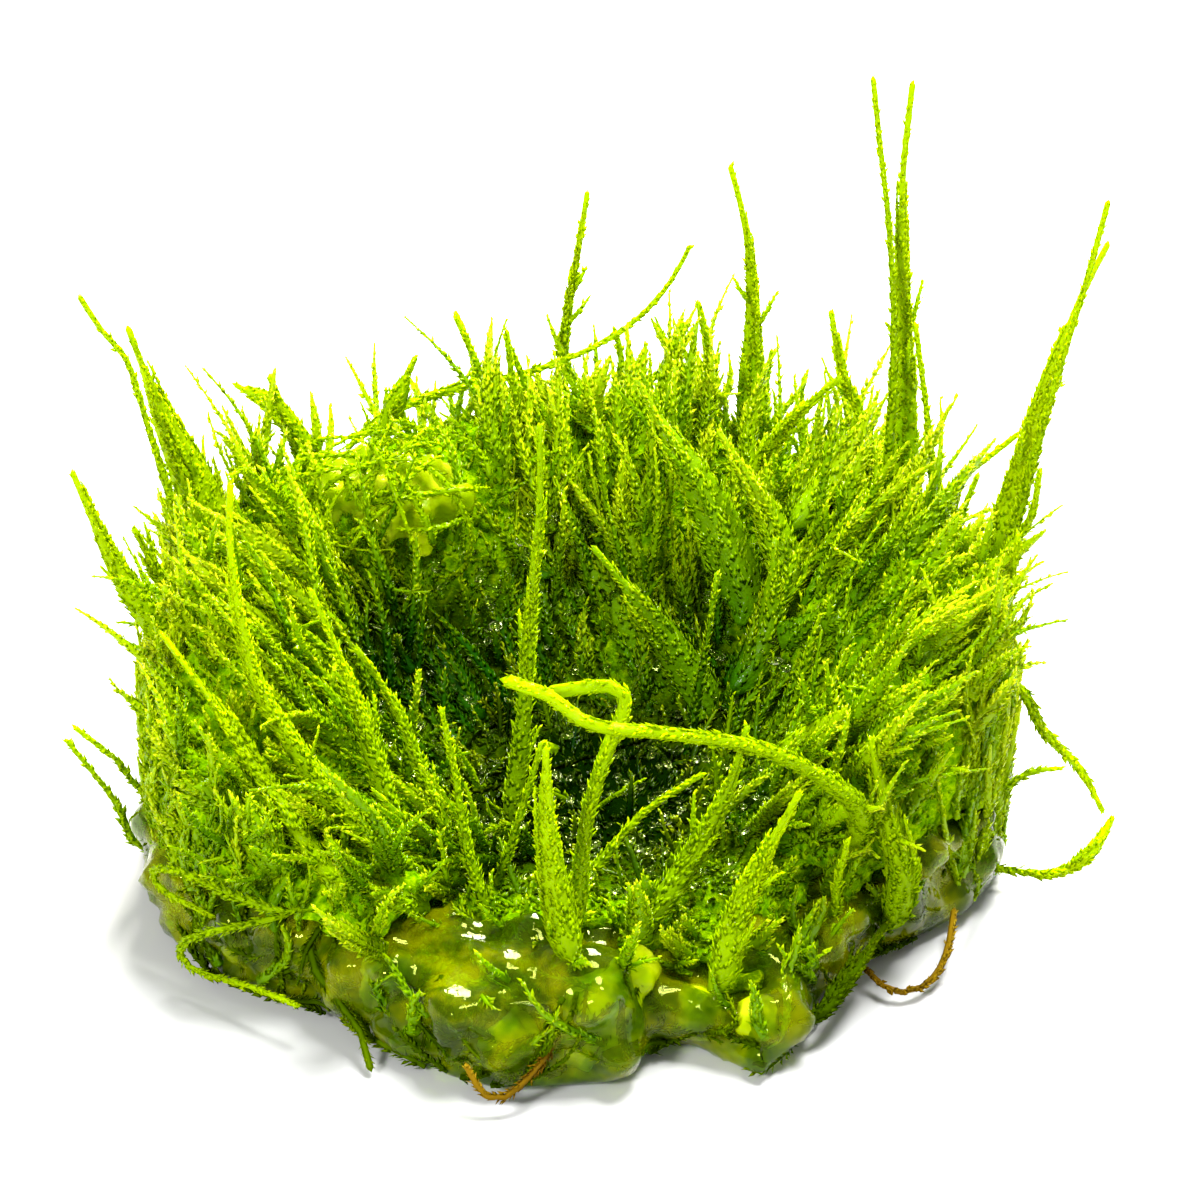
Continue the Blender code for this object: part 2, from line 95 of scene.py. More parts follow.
def colour(hex_value, alpha=1.0):
    """A colour written as on the screen, turned into the linear values that Blender computes with."""
    parts = [int(hex_value[i : i + 2], 16) / 255 for i in (1, 3, 5)]
    linear = [c / 12.92 if c <= 0.04045 else ((c + 0.055) / 1.055) ** 2.4 for c in parts]
    return (*linear, alpha)


def add_lamp(name, place, size, power, tint, target=Vector((0, 0, 15)) * MM):
    """A round area lamp that looks at the clump."""
    lamp = bpy.data.lights.new(name, "AREA")
    lamp.shape = "DISK"
    lamp.size = size
    lamp.energy = power
    lamp.color = colour(tint)[:3]
    holder = bpy.data.objects.new(name, lamp)
    holder.location = place
    holder.rotation_euler = (target - Vector(place)).to_track_quat("-Z", "Y").to_euler()
    bpy.context.scene.collection.objects.link(holder)


bpy.context.scene.view_settings.view_transform = "Standard"
world = bpy.data.worlds.new("white_studio")
world.use_nodes = True
sky = world.node_tree.nodes["Background"].inputs
sky["Color"].default_value = colour("#FFFFFF")
sky["Strength"].default_value = SKY_STRENGTH
bpy.context.scene.world = world
for lamp in LAMPS:
    add_lamp(*lamp)

bpy.ops.object.select_all(action="DESELECT")
bpy.ops.mesh.primitive_circle_add(vertices=96, radius=TABLE_RADIUS, fill_type="NGON", location=(0, 0, 0))
floor = bpy.context.active_object
floor.name = "floor"
floor_material = bpy.data.materials.new("white_table")
floor_material.use_nodes = True
paint = floor_material.node_tree.nodes["Principled BSDF"].inputs
paint["Base Color"].default_value = colour(TABLE_COLOUR)
paint["Roughness"].default_value = TABLE_ROUGHNESS
floor.data.materials.append(floor_material)

# %% [markdown]
# ## Materials
# Every graph is built from the same small step: add a node, set its values, link its inputs.
# Three numbers travel with every vertex of a leafy stem and steer its colour: how near it is
# to the stem's tip, a random tone of its own stem with painted light and shade added to it, and
# how much painted shade of the dark hollow it takes.

# %% Small helpers that build a graph
def add_node(tree, kind, settings=None, values=None, links=None):
    """Adds a node with its settings, the values of its sockets and the links into them."""
    made = tree.nodes.new(kind)
    for key, value in (settings or {}).items():
        setattr(made, key, value)
    for key, value in (values or {}).items():
        made.inputs[key].default_value = value
    for key, source in (links or {}).items():
        tree.links.new(source, made.inputs[key])
    return made


def new_tree(name):
    """A new material with an empty graph, and its output node."""
    material = bpy.data.materials.new(name)
    material.use_nodes = True
    tree = material.node_tree
    tree.nodes.clear()
    return material, tree, tree.nodes.new("ShaderNodeOutputMaterial")


def read_number(tree, name):
    """The number of this name that travels with every vertex."""
    made = add_node(tree, "ShaderNodeAttribute", {"attribute_name": name, "attribute_type": "GEOMETRY"})
    return made.outputs["Fac"]


def add_noise(tree, scale, **values):
    """A cloudy pattern fixed to the object. Its patches are about 1 / scale metres across."""
    place = add_node(tree, "ShaderNodeTexCoord")
    made = add_node(tree, "ShaderNodeTexNoise", None, {"Scale": scale, **values},
                    {"Vector": place.outputs["Object"]})
    return made.outputs["Fac"]


def add_ramp(tree, share, stops):
    """The colour that a ramp with the given places and colours has at a share."""
    ramp = add_node(tree, "ShaderNodeValToRGB", None, None, {"Fac": share})
    elements = ramp.color_ramp.elements
    while len(elements) < len(stops):
        elements.new(0.5)
    for element, (place, value) in zip(elements, stops):
        element.position = place
        element.color = colour(value)
    return ramp.outputs["Color"]


def add_bump(tree, height, strength, distance):
    """A surface direction that makes a pattern look this deep, in metres."""
    made = add_node(tree, "ShaderNodeBump", None, {"Strength": strength, "Distance": distance},
                    {"Height": height})
    return made.outputs["Normal"]


# %% [markdown]
# Moss leaves are one cell thick. Light passes through them, so about half of what the eye sees
# is light from behind, and it is yellower than the light that the surface throws back. The
# thin film of water on them gives a clear, narrow highlight. Transmission would bend the light
# as glass does, so a translucent shader, which scatters it, is mixed in for what comes through.

# %% Leaves of the moss
# How much a stem's tone and the patches count beside the nearness to the tip, and the factor
# that brings their sum on to the ramp
TONE_WEIGHT, PATCH_WEIGHT, SUM_TO_RAMP = 0.7, 0.5, 0.46


def make_leaf_material(name, stops, glow, painted_shade, see_through, wetness):
    """A leaf one cell thick, with a film of water on it."""
    material, tree, output = new_tree(name)
    # The third number is the painted shade of the hollow
    tip, tone, depth = (read_number(tree, key) for key in ("tip", "tone", "painted_shade"))
    # Patches about 4 mm across, as young and old growth lie in the clump
    patches = add_noise(tree, 250.0, Detail=2.0, Roughness=0.5)
    mixed = add_node(tree, "ShaderNodeMath", {"operation": "MULTIPLY_ADD"}, {1: TONE_WEIGHT},
                     {0: tone, 2: tip})
    spread = add_node(tree, "ShaderNodeMath", {"operation": "MULTIPLY_ADD"}, {1: PATCH_WEIGHT},
                      {0: patches, 2: mixed.outputs[0]})
    share = add_node(tree, "ShaderNodeMath", {"operation": "MULTIPLY", "use_clamp": True},
                     {1: SUM_TO_RAMP}, {0: spread.outputs[0]})
    # Painted shade: the ramp's colour is mixed towards a dark colour where the hollow's shade falls
    body = add_node(tree, "ShaderNodeMix", {"data_type": "RGBA"}, {"B": colour(painted_shade)},
                    {"Factor": depth, "A": add_ramp(tree, share.outputs[0], stops)})
    lit = add_node(tree, "ShaderNodeMix", {"data_type": "RGBA", "blend_type": "MULTIPLY"},
                   {"Factor": 1.0, "B": colour(glow)}, {"A": body.outputs["Result"]})
    # Cells and folds of about 0.35 mm make the surface uneven
    bump = add_bump(tree, add_noise(tree, 2800.0, Detail=1.0), 0.6, 0.0002)
    surface = add_node(tree, "ShaderNodeBsdfPrincipled", None,
                       {"Roughness": 0.5, "IOR": 1.4, "Specular IOR Level": 0.0,
                        "Coat Weight": wetness, "Coat Roughness": 0.06, "Coat IOR": 1.33},
                       {"Base Color": body.outputs["Result"], "Normal": bump, "Coat Normal": bump})
    through = add_node(tree, "ShaderNodeBsdfTranslucent", None, None, {"Color": lit.outputs["Result"]})
    both = add_node(tree, "ShaderNodeMixShader", None, {"Fac": see_through},
                    {1: surface.outputs[0], 2: through.outputs[0]})
    tree.links.new(both.outputs[0], output.inputs["Surface"])
    return material


# Each leaf's colours, its tint in light from behind, the colour of its painted shade in the hollow's
# dark, the share of light that comes through it, and how wet it is
YOUNG_STOPS = [(0.05, "#80A800"), (0.35, "#A0C600"), (0.60, "#BCDC00"), (0.90, "#D4EE00")]
OLD_STOPS = [(0.05, "#5E9400"), (0.30, "#92BE00"), (0.55, "#BAD800"), (0.85, "#ECFA18")]
DROWNED_STOPS = [(0.05, "#2C4200"), (0.30, "#466200"), (0.55, "#688400"), (0.85, "#96AA08")]
young_leaf = make_leaf_material("young_moss_leaf", YOUNG_STOPS, "#FFFF90", "#1E5600", 0.42, 0.2)
old_leaf = make_leaf_material("moss_leaf", OLD_STOPS, "#FFFF90", "#085400", 0.40, 0.55)
# The hollow's leaf is the moss leaf made wetter and shaded: a darker painted shade colour and less light
# through it
wet_shaded_leaf = make_leaf_material("wet_shaded_hollow_leaf", OLD_STOPS, "#FFFF90", "#062A00", 0.25, 1.0)
drowned_leaf = make_leaf_material("leaf_in_jelly", DROWNED_STOPS, "#FFFFA0", "#031000", 0.25, 0.0)

# %% [markdown]
# Old runners have lost their green and turned a dry yellow brown. Their leaves are built like
# the others, so the same graph serves them with other colours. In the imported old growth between
# the tufts no leaf stands out. It is dark and grainy, and a plainer graph is enough for it.

# %% Runners and the dark heart of the mat
RUNNER_STOPS = [(0.10, "#563E06"), (0.40, "#80620A"), (0.65, "#A08010"), (0.90, "#BCA020")]
runner_bark = make_leaf_material("brown_runner_leaf", RUNNER_STOPS, "#FFE0A0", "#2A1400", 0.2, 0.1)


def make_heart_material(name, stops, painted_shade):
    """Packed old growth between the tufts: dark, grainy and dull."""
    material, tree, output = new_tree(name)
    # Grain of about 0.6 mm, one old leaf
    grain = add_noise(tree, 1600.0, Detail=3.0, Roughness=0.6)
    # Painted shade: the grain's colour is mixed towards a dark colour where the hollow's shade falls
    body = add_node(tree, "ShaderNodeMix", {"data_type": "RGBA"}, {"B": colour(painted_shade)},
                    {"Factor": read_number(tree, "painted_shade"), "A": add_ramp(tree, grain, stops)})
    surface = add_node(tree, "ShaderNodeBsdfPrincipled", None,
                       {"Roughness": 0.75, "IOR": 1.4, "Specular IOR Level": 0.0},
                       {"Base Color": body.outputs["Result"], "Normal": add_bump(tree, grain, 0.9, 0.0004)})
    tree.links.new(surface.outputs[0], output.inputs["Surface"])
    return material


HEART_STOPS = [(0.30, "#3E7000"), (0.50, "#6E9E00"), (0.68, "#9EC400")]
DECAYED_STOPS = [(0.30, "#304C00"), (0.50, "#587A00"), (0.68, "#92AC00")]
heart = make_heart_material("packed_old_moss", HEART_STOPS, "#051600")
decayed = make_heart_material("decayed_moss_in_jelly", DECAYED_STOPS, "#141E00")

# %% [markdown]
# The jelly is agar: 98 percent water, so its IOR is close to water's 1.333. Green has leaked
# into it from the moss, and it takes up red and blue light as that passes through. Two
# centimetres of it look olive, and a thin lip of it looks pale yellow. A green surface colour
# would be the same everywhere, so the inside absorbs light over its depth instead.

# %% Jelly
# The film of leaked green on the jelly's skin tints what it reflects
SHEEN = "#E4F26A"


def make_jelly_material(name, stops, tint, density, roughness, clearness):
    """Jelly with green that has leaked into it, clear in some places and murky in others."""
    material, tree, output = new_tree(name)
    # Ripples of about 2.5 mm, as handling leaves them
    bump = add_bump(tree, add_noise(tree, 400.0, Detail=2.0), 0.35, 0.0008)
    # Murky and clear places about 4 mm across
    murk = add_noise(tree, 260.0, Detail=3.0, Roughness=0.6)
    surface = add_node(tree, "ShaderNodeBsdfPrincipled", None,
                       {"Roughness": roughness, "IOR": 1.34, "Transmission Weight": clearness,
                        "Specular Tint": colour(SHEEN)},
                       {"Base Color": add_ramp(tree, murk, stops), "Normal": bump})
    taken = add_node(tree, "ShaderNodeVolumeAbsorption", None, {"Color": colour(tint), "Density": density})
    tree.links.new(surface.outputs[0], output.inputs["Surface"])
    tree.links.new(taken.outputs[0], output.inputs["Volume"])
    return material


# Each jelly's colours, what its depth does to light and how strongly, its roughness, and how
# clear it is: the murky slab, the clear drops and the pale lumps
MURKY_STOPS = [(0.36, "#5A7C00"), (0.48, "#90B000"), (0.60, "#EEFA00")]
CLEAR_STOPS = [(0.35, "#C8DC60"), (0.50, "#E4F4A0"), (0.62, "#FAFFE0")]
PALE_STOPS = [(0.35, "#A8CC00"), (0.50, "#CCE400"), (0.62, "#F0FC20")]
jelly = make_jelly_material("agar_jelly", MURKY_STOPS, "#F0FA00", 700.0, 0.05, 0.86)
crumb_jelly = make_jelly_material("agar_crumb", CLEAR_STOPS, "#F2F800", 300.0, 0.08, 1.0)
pale_jelly = make_jelly_material("agar_lump", PALE_STOPS, "#F4FA00", 160.0, 0.05, 0.48)
print("materials:", young_leaf.name, old_leaf.name, wet_shaded_leaf.name, runner_bark.name, heart.name, jelly.name)

# %% [markdown]
# ## One leaf
# A leaf is 0.7 mm long and lance-shaped, and folded along its middle. It is modelled once, as
# a cone of three sides whose point is pulled back past the base: seen from above that is a
# kite with a ridge. Every leaf of the clump is a copy of it, so it has only four triangles.

# %% Model the leaf
LEAF_LENGTH = 0.72 * MM
LEAF_WIDTH = 0.40 * MM
LEAF_KEEL = 0.12 * MM
PULL_BACK = 0.65
# A triangle in a circle of radius 0.5 is 0.866 wide, and the kite that is made of it 1.15 long
CONE_WIDTH, KITE_LENGTH = 0.866, 1.15

bpy.ops.object.select_all(action="DESELECT")
bpy.ops.mesh.primitive_cone_add(vertices=3, radius1=0.5, depth=1.0, location=(0, 0, 0))
leaf = bpy.context.active_object
leaf.name = "leaf_master"
bpy.ops.object.mode_set(mode="EDIT")
bpy.ops.mesh.select_all(action="DESELECT")
shape = bmesh.from_edit_mesh(leaf.data)
for vert in shape.verts:
    vert.select = vert.co.z > 0
shape.select_flush(True)
bmesh.update_edit_mesh(leaf.data)
bpy.ops.transform.translate(value=(0, -PULL_BACK, -0.5))
bpy.ops.mesh.select_all(action="SELECT")
bpy.ops.transform.translate(value=(0, PULL_BACK, 0))
LEAF_SIZE = (LEAF_WIDTH / CONE_WIDTH, LEAF_LENGTH / KITE_LENGTH, LEAF_KEEL * 2)
bpy.ops.transform.resize(value=LEAF_SIZE, center_override=(0, 0, 0))
bpy.ops.mesh.quads_convert_to_tris()
bpy.ops.object.mode_set(mode="OBJECT")
LEAF_POINTS = np.array([vert.co[:] for vert in leaf.data.vertices])
LEAF_FACES = np.array([polygon.vertices[:] for polygon in leaf.data.polygons])
bpy.data.objects.remove(leaf)
print("leaf:", len(LEAF_POINTS), "points,", len(LEAF_FACES), "triangles")

# %% [markdown]
# ## One leafy stem
# A stem is a closed body that tapers along a path, with leaves all over it. A wet tuft is the
# same thing made wider and flatter, with rounded ridges for the stems that water has stuck
# together in it. Each leaf lies forward on the body and its point stands off a little, which
# gives the saw-toothed edge of real moss. Plain arrays of points are used, because the clump
# has about 160 thousand leaves.

# %% Lines and their frames
UP = np.array((0.0, 0.0, 1.0))


def unit(v):
    """Vectors cut or stretched to length 1."""
    return v / np.maximum(np.linalg.norm(v, axis=-1, keepdims=True), 1e-12)


def shares(count):
    """Numbers from 0 to 1 in a column, to walk along a line of that many points."""
    return np.linspace(0, 1, count)[:, None]


def outward_at(angle):
    """The level direction at a bearing from the origin, in radians."""
    return np.array((math.cos(angle), math.sin(angle), 0.0))


def resample(path, step):
    """Evenly spaced points along a path, about one step apart."""
    travelled = np.concatenate([[0.0], np.cumsum(np.linalg.norm(np.diff(path, axis=0), axis=1))])
    count = max(3, int(math.ceil(travelled[-1] / step)) + 1)
    goals = np.linspace(0.0, travelled[-1], count)
    return np.stack([np.interp(goals, travelled, path[:, i]) for i in range(3)], axis=1)


def frames_of(points, broadside=None):
    """Unit vectors along, across and out of a path, carried from point to point without a twist."""
    along = unit(np.gradient(points, axis=0))
    helper = np.zeros(3)
    helper[np.argmin(np.abs(along[0]))] = 1.0
    if broadside is not None:
        helper = np.asarray(broadside, float)
    across = np.empty_like(along)
    for i, direction in enumerate(along):
        helper = helper - direction * (helper @ direction)
        helper = helper / max(math.sqrt(helper @ helper), 1e-12)
        across[i] = helper
    return along, across, np.cross(along, across)


def widths_at(halves, count):
    """Half widths given at even steps from foot to tip, read at that many points."""
    return np.interp(np.linspace(0, 1, count), np.linspace(0, 1, len(halves)), halves)


def smooth_line(points, count=40):
    """Many points on one smooth curve through the given ones."""
    points = np.asarray(points, float)
    ends = np.vstack([2 * points[0] - points[1], points, 2 * points[-1] - points[-2]])
    steps = max(2, count // (len(points) - 1))
    curve = []
    for a, b, c, d in zip(ends, ends[1:], ends[2:], ends[3:]):
        t = np.arange(steps)[:, None] / steps
        square, cube = 2 * a - 5 * b + 4 * c - d, 3 * b - a - 3 * c + d
        curve.append((2 * b + (c - a) * t + square * t**2 + cube * t**3) / 2)
    return np.vstack([*curve, points[-1:]])


# %% [markdown]
# The body under the leaves could be a curve with a bevel. It is made of rings of points instead,
# because they can be flattened and ridged. Leaves are spread evenly over its surface: their
# turns follow the spiral of 137.5 degrees that many mosses keep, or two rows on the feathery
# sprigs, with some disorder.

# %% The body of a stem
GOLDEN_TURN = math.radians(137.5)


def swell_at(turns, share, ridges):
    """How far the ridges push the surface out: their number, height, start and twist."""
    number, height, start, twist = ridges
    return 1 + height * np.cos(number * turns + start + twist * share)


def body(points, frames, wide, thick, ridges, sides):
    """A closed body along a path, with given half widths, that ends in a point."""
    along, across, out = frames
    count = len(points)
    turns = np.arange(sides) * math.tau / sides
    share = np.linspace(0.0, 1.0, count)
    swell = swell_at(turns[None], share[:, None], ridges)
    x, y = np.cos(turns) * swell * wide[:, None], np.sin(turns) * swell * thick[:, None]
    verts = (points[:, None] + across[:, None] * x[..., None] + out[:, None] * y[..., None]).reshape(-1, 3)
    tip, foot = points[-1] + along[-1] * wide[-1] * 1.5, points[0] - along[0] * wide[0] * 0.3
    verts = np.vstack([verts, tip, foot])
    here, after = np.arange(sides), (np.arange(sides) + 1) % sides
    a = (np.arange(count - 1)[:, None] * sides + here).ravel()
    b = (np.arange(count - 1)[:, None] * sides + after).ravel()
    walls = np.concatenate([np.stack([a, b, a + sides], -1), np.stack([b, b + sides, a + sides], -1)])
    last, top = (count - 1) * sides, count * sides
    ends = np.concatenate([np.stack([last + here, last + after, np.full(sides, top)], -1),
                           np.stack([after, here, np.full(sides, top + 1)], -1)])
    return verts, np.vstack([walls, ends]), np.concatenate([np.repeat(share, sides), [1.0, 0.0]])


# %% [markdown]
# A particle system could scatter the leaves, but each has to lie along its own stem. So every
# leaf gets its place and its turn from the body's rings: it lies along the stem, turns a little
# to the side and lifts its point, and the leaves of a tip are smaller and lie closer.

# %% Leaves on the body
# Painted shade and light on every leaf: darker where it leaves the stem and lighter at its point
LEAF_CONTRAST, LEAF_MIDDLE = 0.38, 0.45
LEAF_SHADE = np.array([LEAF_CONTRAST * (point[1] / LEAF_LENGTH - LEAF_MIDDLE) for point in LEAF_POINTS])
# How far leaves turn to the side and wander round the stem, in radians
LEAF_YAW, LEAF_WANDER = 0.22, 0.35
LEAF_SINK = 0.04 * MM
# How much leaves differ in lean, in degrees, and in size
LEAN_SPREAD, SIZE_SPREAD = 8.0, (0.75, 1.2)


def set_leaves(places, heading, away, lean, yaw, scale, rng):
    """One leaf at each place, lying along its heading, with its point off the surface."""
    count = len(places)
    turned = rng.normal(0, yaw, count)[:, None]
    heading = unit(heading * np.cos(turned) + np.cross(heading, away) * np.sin(turned))
    tilt = np.radians(lean + rng.normal(0, LEAN_SPREAD, count))[:, None]
    forward = heading * np.cos(tilt) + away * np.sin(tilt)
    face = away * np.cos(tilt) - heading * np.sin(tilt)
    side = np.cross(forward, face)
    local = LEAF_POINTS[None] * (scale * rng.uniform(*SIZE_SPREAD, count))[:, None, None]
    x, y, z = local[..., :1], local[..., 1:2], local[..., 2:]
    verts = places[:, None] + side[:, None] * x + forward[:, None] * y + face[:, None] * z
    faces = LEAF_FACES[None] + (np.arange(count) * len(LEAF_POINTS))[:, None, None]
    return verts.reshape(-1, 3), faces.reshape(-1, 3)


def leaves_on_body(points, frames, wide, thick, ridges, rng, size, lean, cover, rows):
    """Leaves evenly over a body, smaller and closer to it at the tip."""
    knots = np.linspace(0.0, 1.0, len(points))
    girth = math.pi * (wide + thick)
    steps = np.linalg.norm(np.diff(points, axis=0), axis=1)
    area = np.concatenate([[0.0], np.cumsum(steps * (girth[1:] + girth[:-1]) / 2)])
    count = max(4, int(area[-1] * cover))
    share = np.interp((np.arange(count) + rng.uniform(0, 1, count)) / count * area[-1], area, knots)
    centre, along, across, out = (
        np.stack([np.interp(share, knots, v[:, i]) for i in range(3)], axis=1) for v in (points, *frames)
    )
    a, b = np.interp(share, knots, wide)[:, None], np.interp(share, knots, thick)[:, None]
    step = math.tau / rows if rows else GOLDEN_TURN
    turn = np.arange(count) * step + rng.uniform(0, math.tau) + rng.normal(0, LEAF_WANDER, count)
    cos, sin = np.cos(turn)[:, None], np.sin(turn)[:, None]
    away = unit(across * cos * b + out * sin * a)
    swell = swell_at(turn, share, ridges)[:, None]
    place = centre + (across * cos * a + out * sin * b) * swell - away * LEAF_SINK
    leans, sizes = lean * (1 - 0.4 * share**3), size * (1 - 0.3 * share**4)
    verts, faces = set_leaves(place, unit(along), away, leans, LEAF_YAW, sizes, rng)
    return verts, faces, (share[:, None] ** TIP_POWER + LEAF_SHADE).reshape(-1)


# %% [markdown]
# A piece gathers many stems in one mesh. It also keeps the three numbers that its material
# reads. The painted shade of the hollow falls off with a point's distance from a few places that
# are dark in the photograph: the hollow's floor and the slopes round it. The shoots at the
# front stand in the light before it, so they take on little of that painted shade. Painted light
# at the outer edge and painted shade further in are added to each stem's tone.

# %% Painted shade and light of the clump
PAINTED_SHADE_PLACES = [
    ((1.0, -1.0, 5.5), (14.0, 16.0, 9.5), 1.0),
    ((-6.0, 8.5, 11.0), (9.5, 9.5, 7.5), 0.92),
    ((8.0, 9.0, 10.0), (7.0, 8.0, 7.0), 0.80),
    ((-13.0, 6.5, 13.0), (7.5, 6.5, 6.0), 0.92),
    ((14.0, -7.0, 7.0), (6.0, 8.0, 5.0), 0.50),
    ((-1.0, 14.5, 15.0), (5.5, 6.0, 5.5), 0.60),
]
PAINTED_SHADE_CORE = 1.5
HOLLOW_PLAN = np.array((3.0, -2.0)) * MM
EDGE_RADIUS = 30.5 * MM
# Painted light at the outer edge and painted shade further in, by reach; only behind the front, and more at
# the right
PAINTED_LIGHT_AT_REACH = ([0.35, 0.65, 0.85, 1.05], [-0.20, -0.08, 0.26, 0.60])
PAINTED_LIGHT_FROM = (-14.0 * MM, 0.0)
MORE_PAINTED_LIGHT_AT_RIGHT = ([6.0 * MM, 20.0 * MM], [0.0, 0.16])


def painted_shade_in_hollow(points):
    """Painted shade of the hollow: 1 in the dark middle, 0 outside."""
    depths = [
        strength * np.clip(PAINTED_SHADE_CORE - np.linalg.norm((points / MM - middle) / reach, axis=1), 0.0, 1.0)
        for middle, reach, strength in PAINTED_SHADE_PLACES
    ]
    return np.max(depths, axis=0)


def painted_light_and_shade_of(points):
    """Painted light at the outer edge, most of all at the right, except at the open front, and painted
    shade further in.
    """
    reach = np.linalg.norm(points[:, :2] - HOLLOW_PLAN, axis=1) / EDGE_RADIUS
    share = np.interp(points[:, 1], PAINTED_LIGHT_FROM, (0.0, 1.0))
    lift = np.interp(reach, *PAINTED_LIGHT_AT_REACH)
    lift = lift + np.where(reach > 0.7, np.interp(points[:, 0], *MORE_PAINTED_LIGHT_AT_RIGHT), 0.0)
    return np.where(lift > 0, lift * share, lift)


# %% [markdown]
# Thousands of stems as objects of their own would be slow to build and to draw. Their points
# and triangles are gathered in lists instead, and a whole piece becomes one mesh. A single stem
# is a plain thin body, and a tuft gets a few ridges for the stems that lie in it. Either body
# is slimmer than what is seen, by the height of its leaves.

# %% Gather stems
# How the numbers for the material begin: towards the tip, from leaf to leaf, and on the body,
# which starts darker than its leaves as painted shade under them
TIP_POWER, LEAF_TONE, BODY_SHADE = 1.6, 0.07, -0.16
BODY_STEP, LEAF_RELIEF, THINNEST = 1.4 * MM, 0.17 * MM, 0.08 * MM
STEM_HALF, TUFT_HALF = 0.40 * MM, 0.42 * MM
# A shoot's width is read where this share of it, in percent, is narrower
NEARLY_ALL = 80
FLATTEST = 0.25 * MM
RIDGE_WIDTH, RIDGE_HEIGHT, RIDGE_TWIST = 0.30 * MM, 0.20, 3.0
PLAIN, PLAIN_SIDES = (1, 0.0, 0.0, 0.0), 4
STEM_TAPER = np.array((1.0, 1.0, 0.95, 0.8, 0.5))
# How many leaves cover a stem: 6.2 on each square millimetre
COVER = 6.2 / MM**2


class Gathered:
    """Points, triangles, nearness to the tip and tone of every stem that belongs to one piece."""

    def __init__(self):
        self.points, self.faces, self.tips, self.tones = [], [], [], []
        self.count = 0

    def add(self, points, faces, tips, tones):
        """Takes in one body or one set of leaves."""
        self.points.append(points)
        self.faces.append(faces + self.count)
        self.tips.append(tips)
        self.tones.append(np.broadcast_to(tones, len(points)))
        self.count += len(points)

    def add_leafy(self, path, halves, rng, tone, flat=1.0, size=1.0, lean=27.0, cover=COVER, rows=0,
                  broadside=None):
        """A leafy stem or tuft along a path, with its outer half widths from foot to tip."""
        points = resample(np.asarray(path, float), BODY_STEP)
        frames = frames_of(points, broadside)
        wide = np.maximum(widths_at(halves, len(points)) - LEAF_RELIEF * size, THINNEST)
        widest = np.percentile(wide, NEARLY_ALL)
        if widest < TUFT_HALF:
            ridges, sides, thick = PLAIN, PLAIN_SIDES, wide
        else:
            number = int(np.clip(round(widest / RIDGE_WIDTH), 3, 5))
            start, twist = rng.uniform(0, math.tau), rng.uniform(-RIDGE_TWIST, RIDGE_TWIST)
            ridges = (number, RIDGE_HEIGHT, start, twist)
            sides, thick = 3 * number, np.maximum(wide * flat, np.minimum(wide, FLATTEST))
        shape = (points, frames, wide, thick, ridges)
        verts, faces, tips = body(*shape, sides)
        self.add(verts, faces, BODY_SHADE + 0.5 * tips**TIP_POWER, tone)
        verts, faces, tips = leaves_on_body(*shape, rng, size, lean, cover, rows)
        own = np.repeat(rng.normal(tone, LEAF_TONE, len(verts) // len(LEAF_POINTS)), len(LEAF_POINTS))
        self.add(verts, faces, tips, np.clip(own, 0, 1))

    def add_stem(self, path, rng, tone, half=STEM_HALF, **more):
        """A single leafy stem that narrows to its tip."""
        self.add_leafy(path, half * STEM_TAPER, rng, tone, **more)


# %% [markdown]
# A mesh is filled from whole arrays here, which is much faster than adding its 100 thousand
# triangles one by one. Points that would go through the table are lifted on to it.

# %% Turn gathered stems into a piece
ABOVE_TABLE = 0.02 * MM
# The tips of stems take on half less of the hollow's painted shade, as painted light
LIT_TIPS = 0.5
triangle_count = {}


def make_piece(name, gathered, material, nodes=(), shade=1.0):
    """Turns gathered stems into one mesh of closed parts that rides on the body."""
    points, faces = np.vstack(gathered.points), np.vstack(gathered.faces)
    points[:, 2] = np.maximum(points[:, 2], ABOVE_TABLE)
    mesh = bpy.data.meshes.new(name)
    mesh.vertices.add(len(points))
    mesh.vertices.foreach_set("co", points.astype(np.float32).ravel())
    mesh.loops.add(len(faces) * 3)
    mesh.loops.foreach_set("vertex_index", faces.astype(np.int32).ravel())
    mesh.polygons.add(len(faces))
    mesh.polygons.foreach_set("loop_start", np.arange(0, len(faces) * 3, 3, dtype=np.int32))
    mesh.update(calc_edges=True)
    tips = np.concatenate(gathered.tips)
    # Painted shade of the hollow, scaled for lit pieces and less at the tips; painted light and shade by
    # place go into the tone
    painted_shade = shade * painted_shade_in_hollow(points) * (1 - LIT_TIPS * np.clip(tips, 0, 1))
    values = {"tip": tips, "tone": np.concatenate(gathered.tones) + painted_light_and_shade_of(points), "painted_shade": painted_shade}
    for key, value in values.items():
        layer = mesh.attributes.new(key, "FLOAT", "POINT")
        layer.data.foreach_set("value", value.astype(np.float32))
    mesh.materials.append(material)
    piece = bpy.data.objects.new(name, mesh)
    bpy.context.scene.collection.objects.link(piece)
    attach(piece, "root")
    if nodes:
        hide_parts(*nodes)
    triangle_count[name] = len(faces)
    if not nodes:
        print(name, len(faces), "triangles")


# %% [markdown]
# ## One wet tuft
# Water pulls neighbouring stems together into a pointed tuft. A few stems leave it on the way
# and end beside its tip, so it looks frayed.

# %% A tuft with loose stems
# Where a loose stem leaves the tuft, and the earliest place where it ends, as shares of its length
LEAVES_AT, LEAST_END = (0.10, 0.40), 0.55


def is_narrow(halves):
    """Whether a shoot of these half widths is a single stem."""
    return np.percentile(halves, NEARLY_ALL) < TUFT_HALF + LEAF_RELIEF


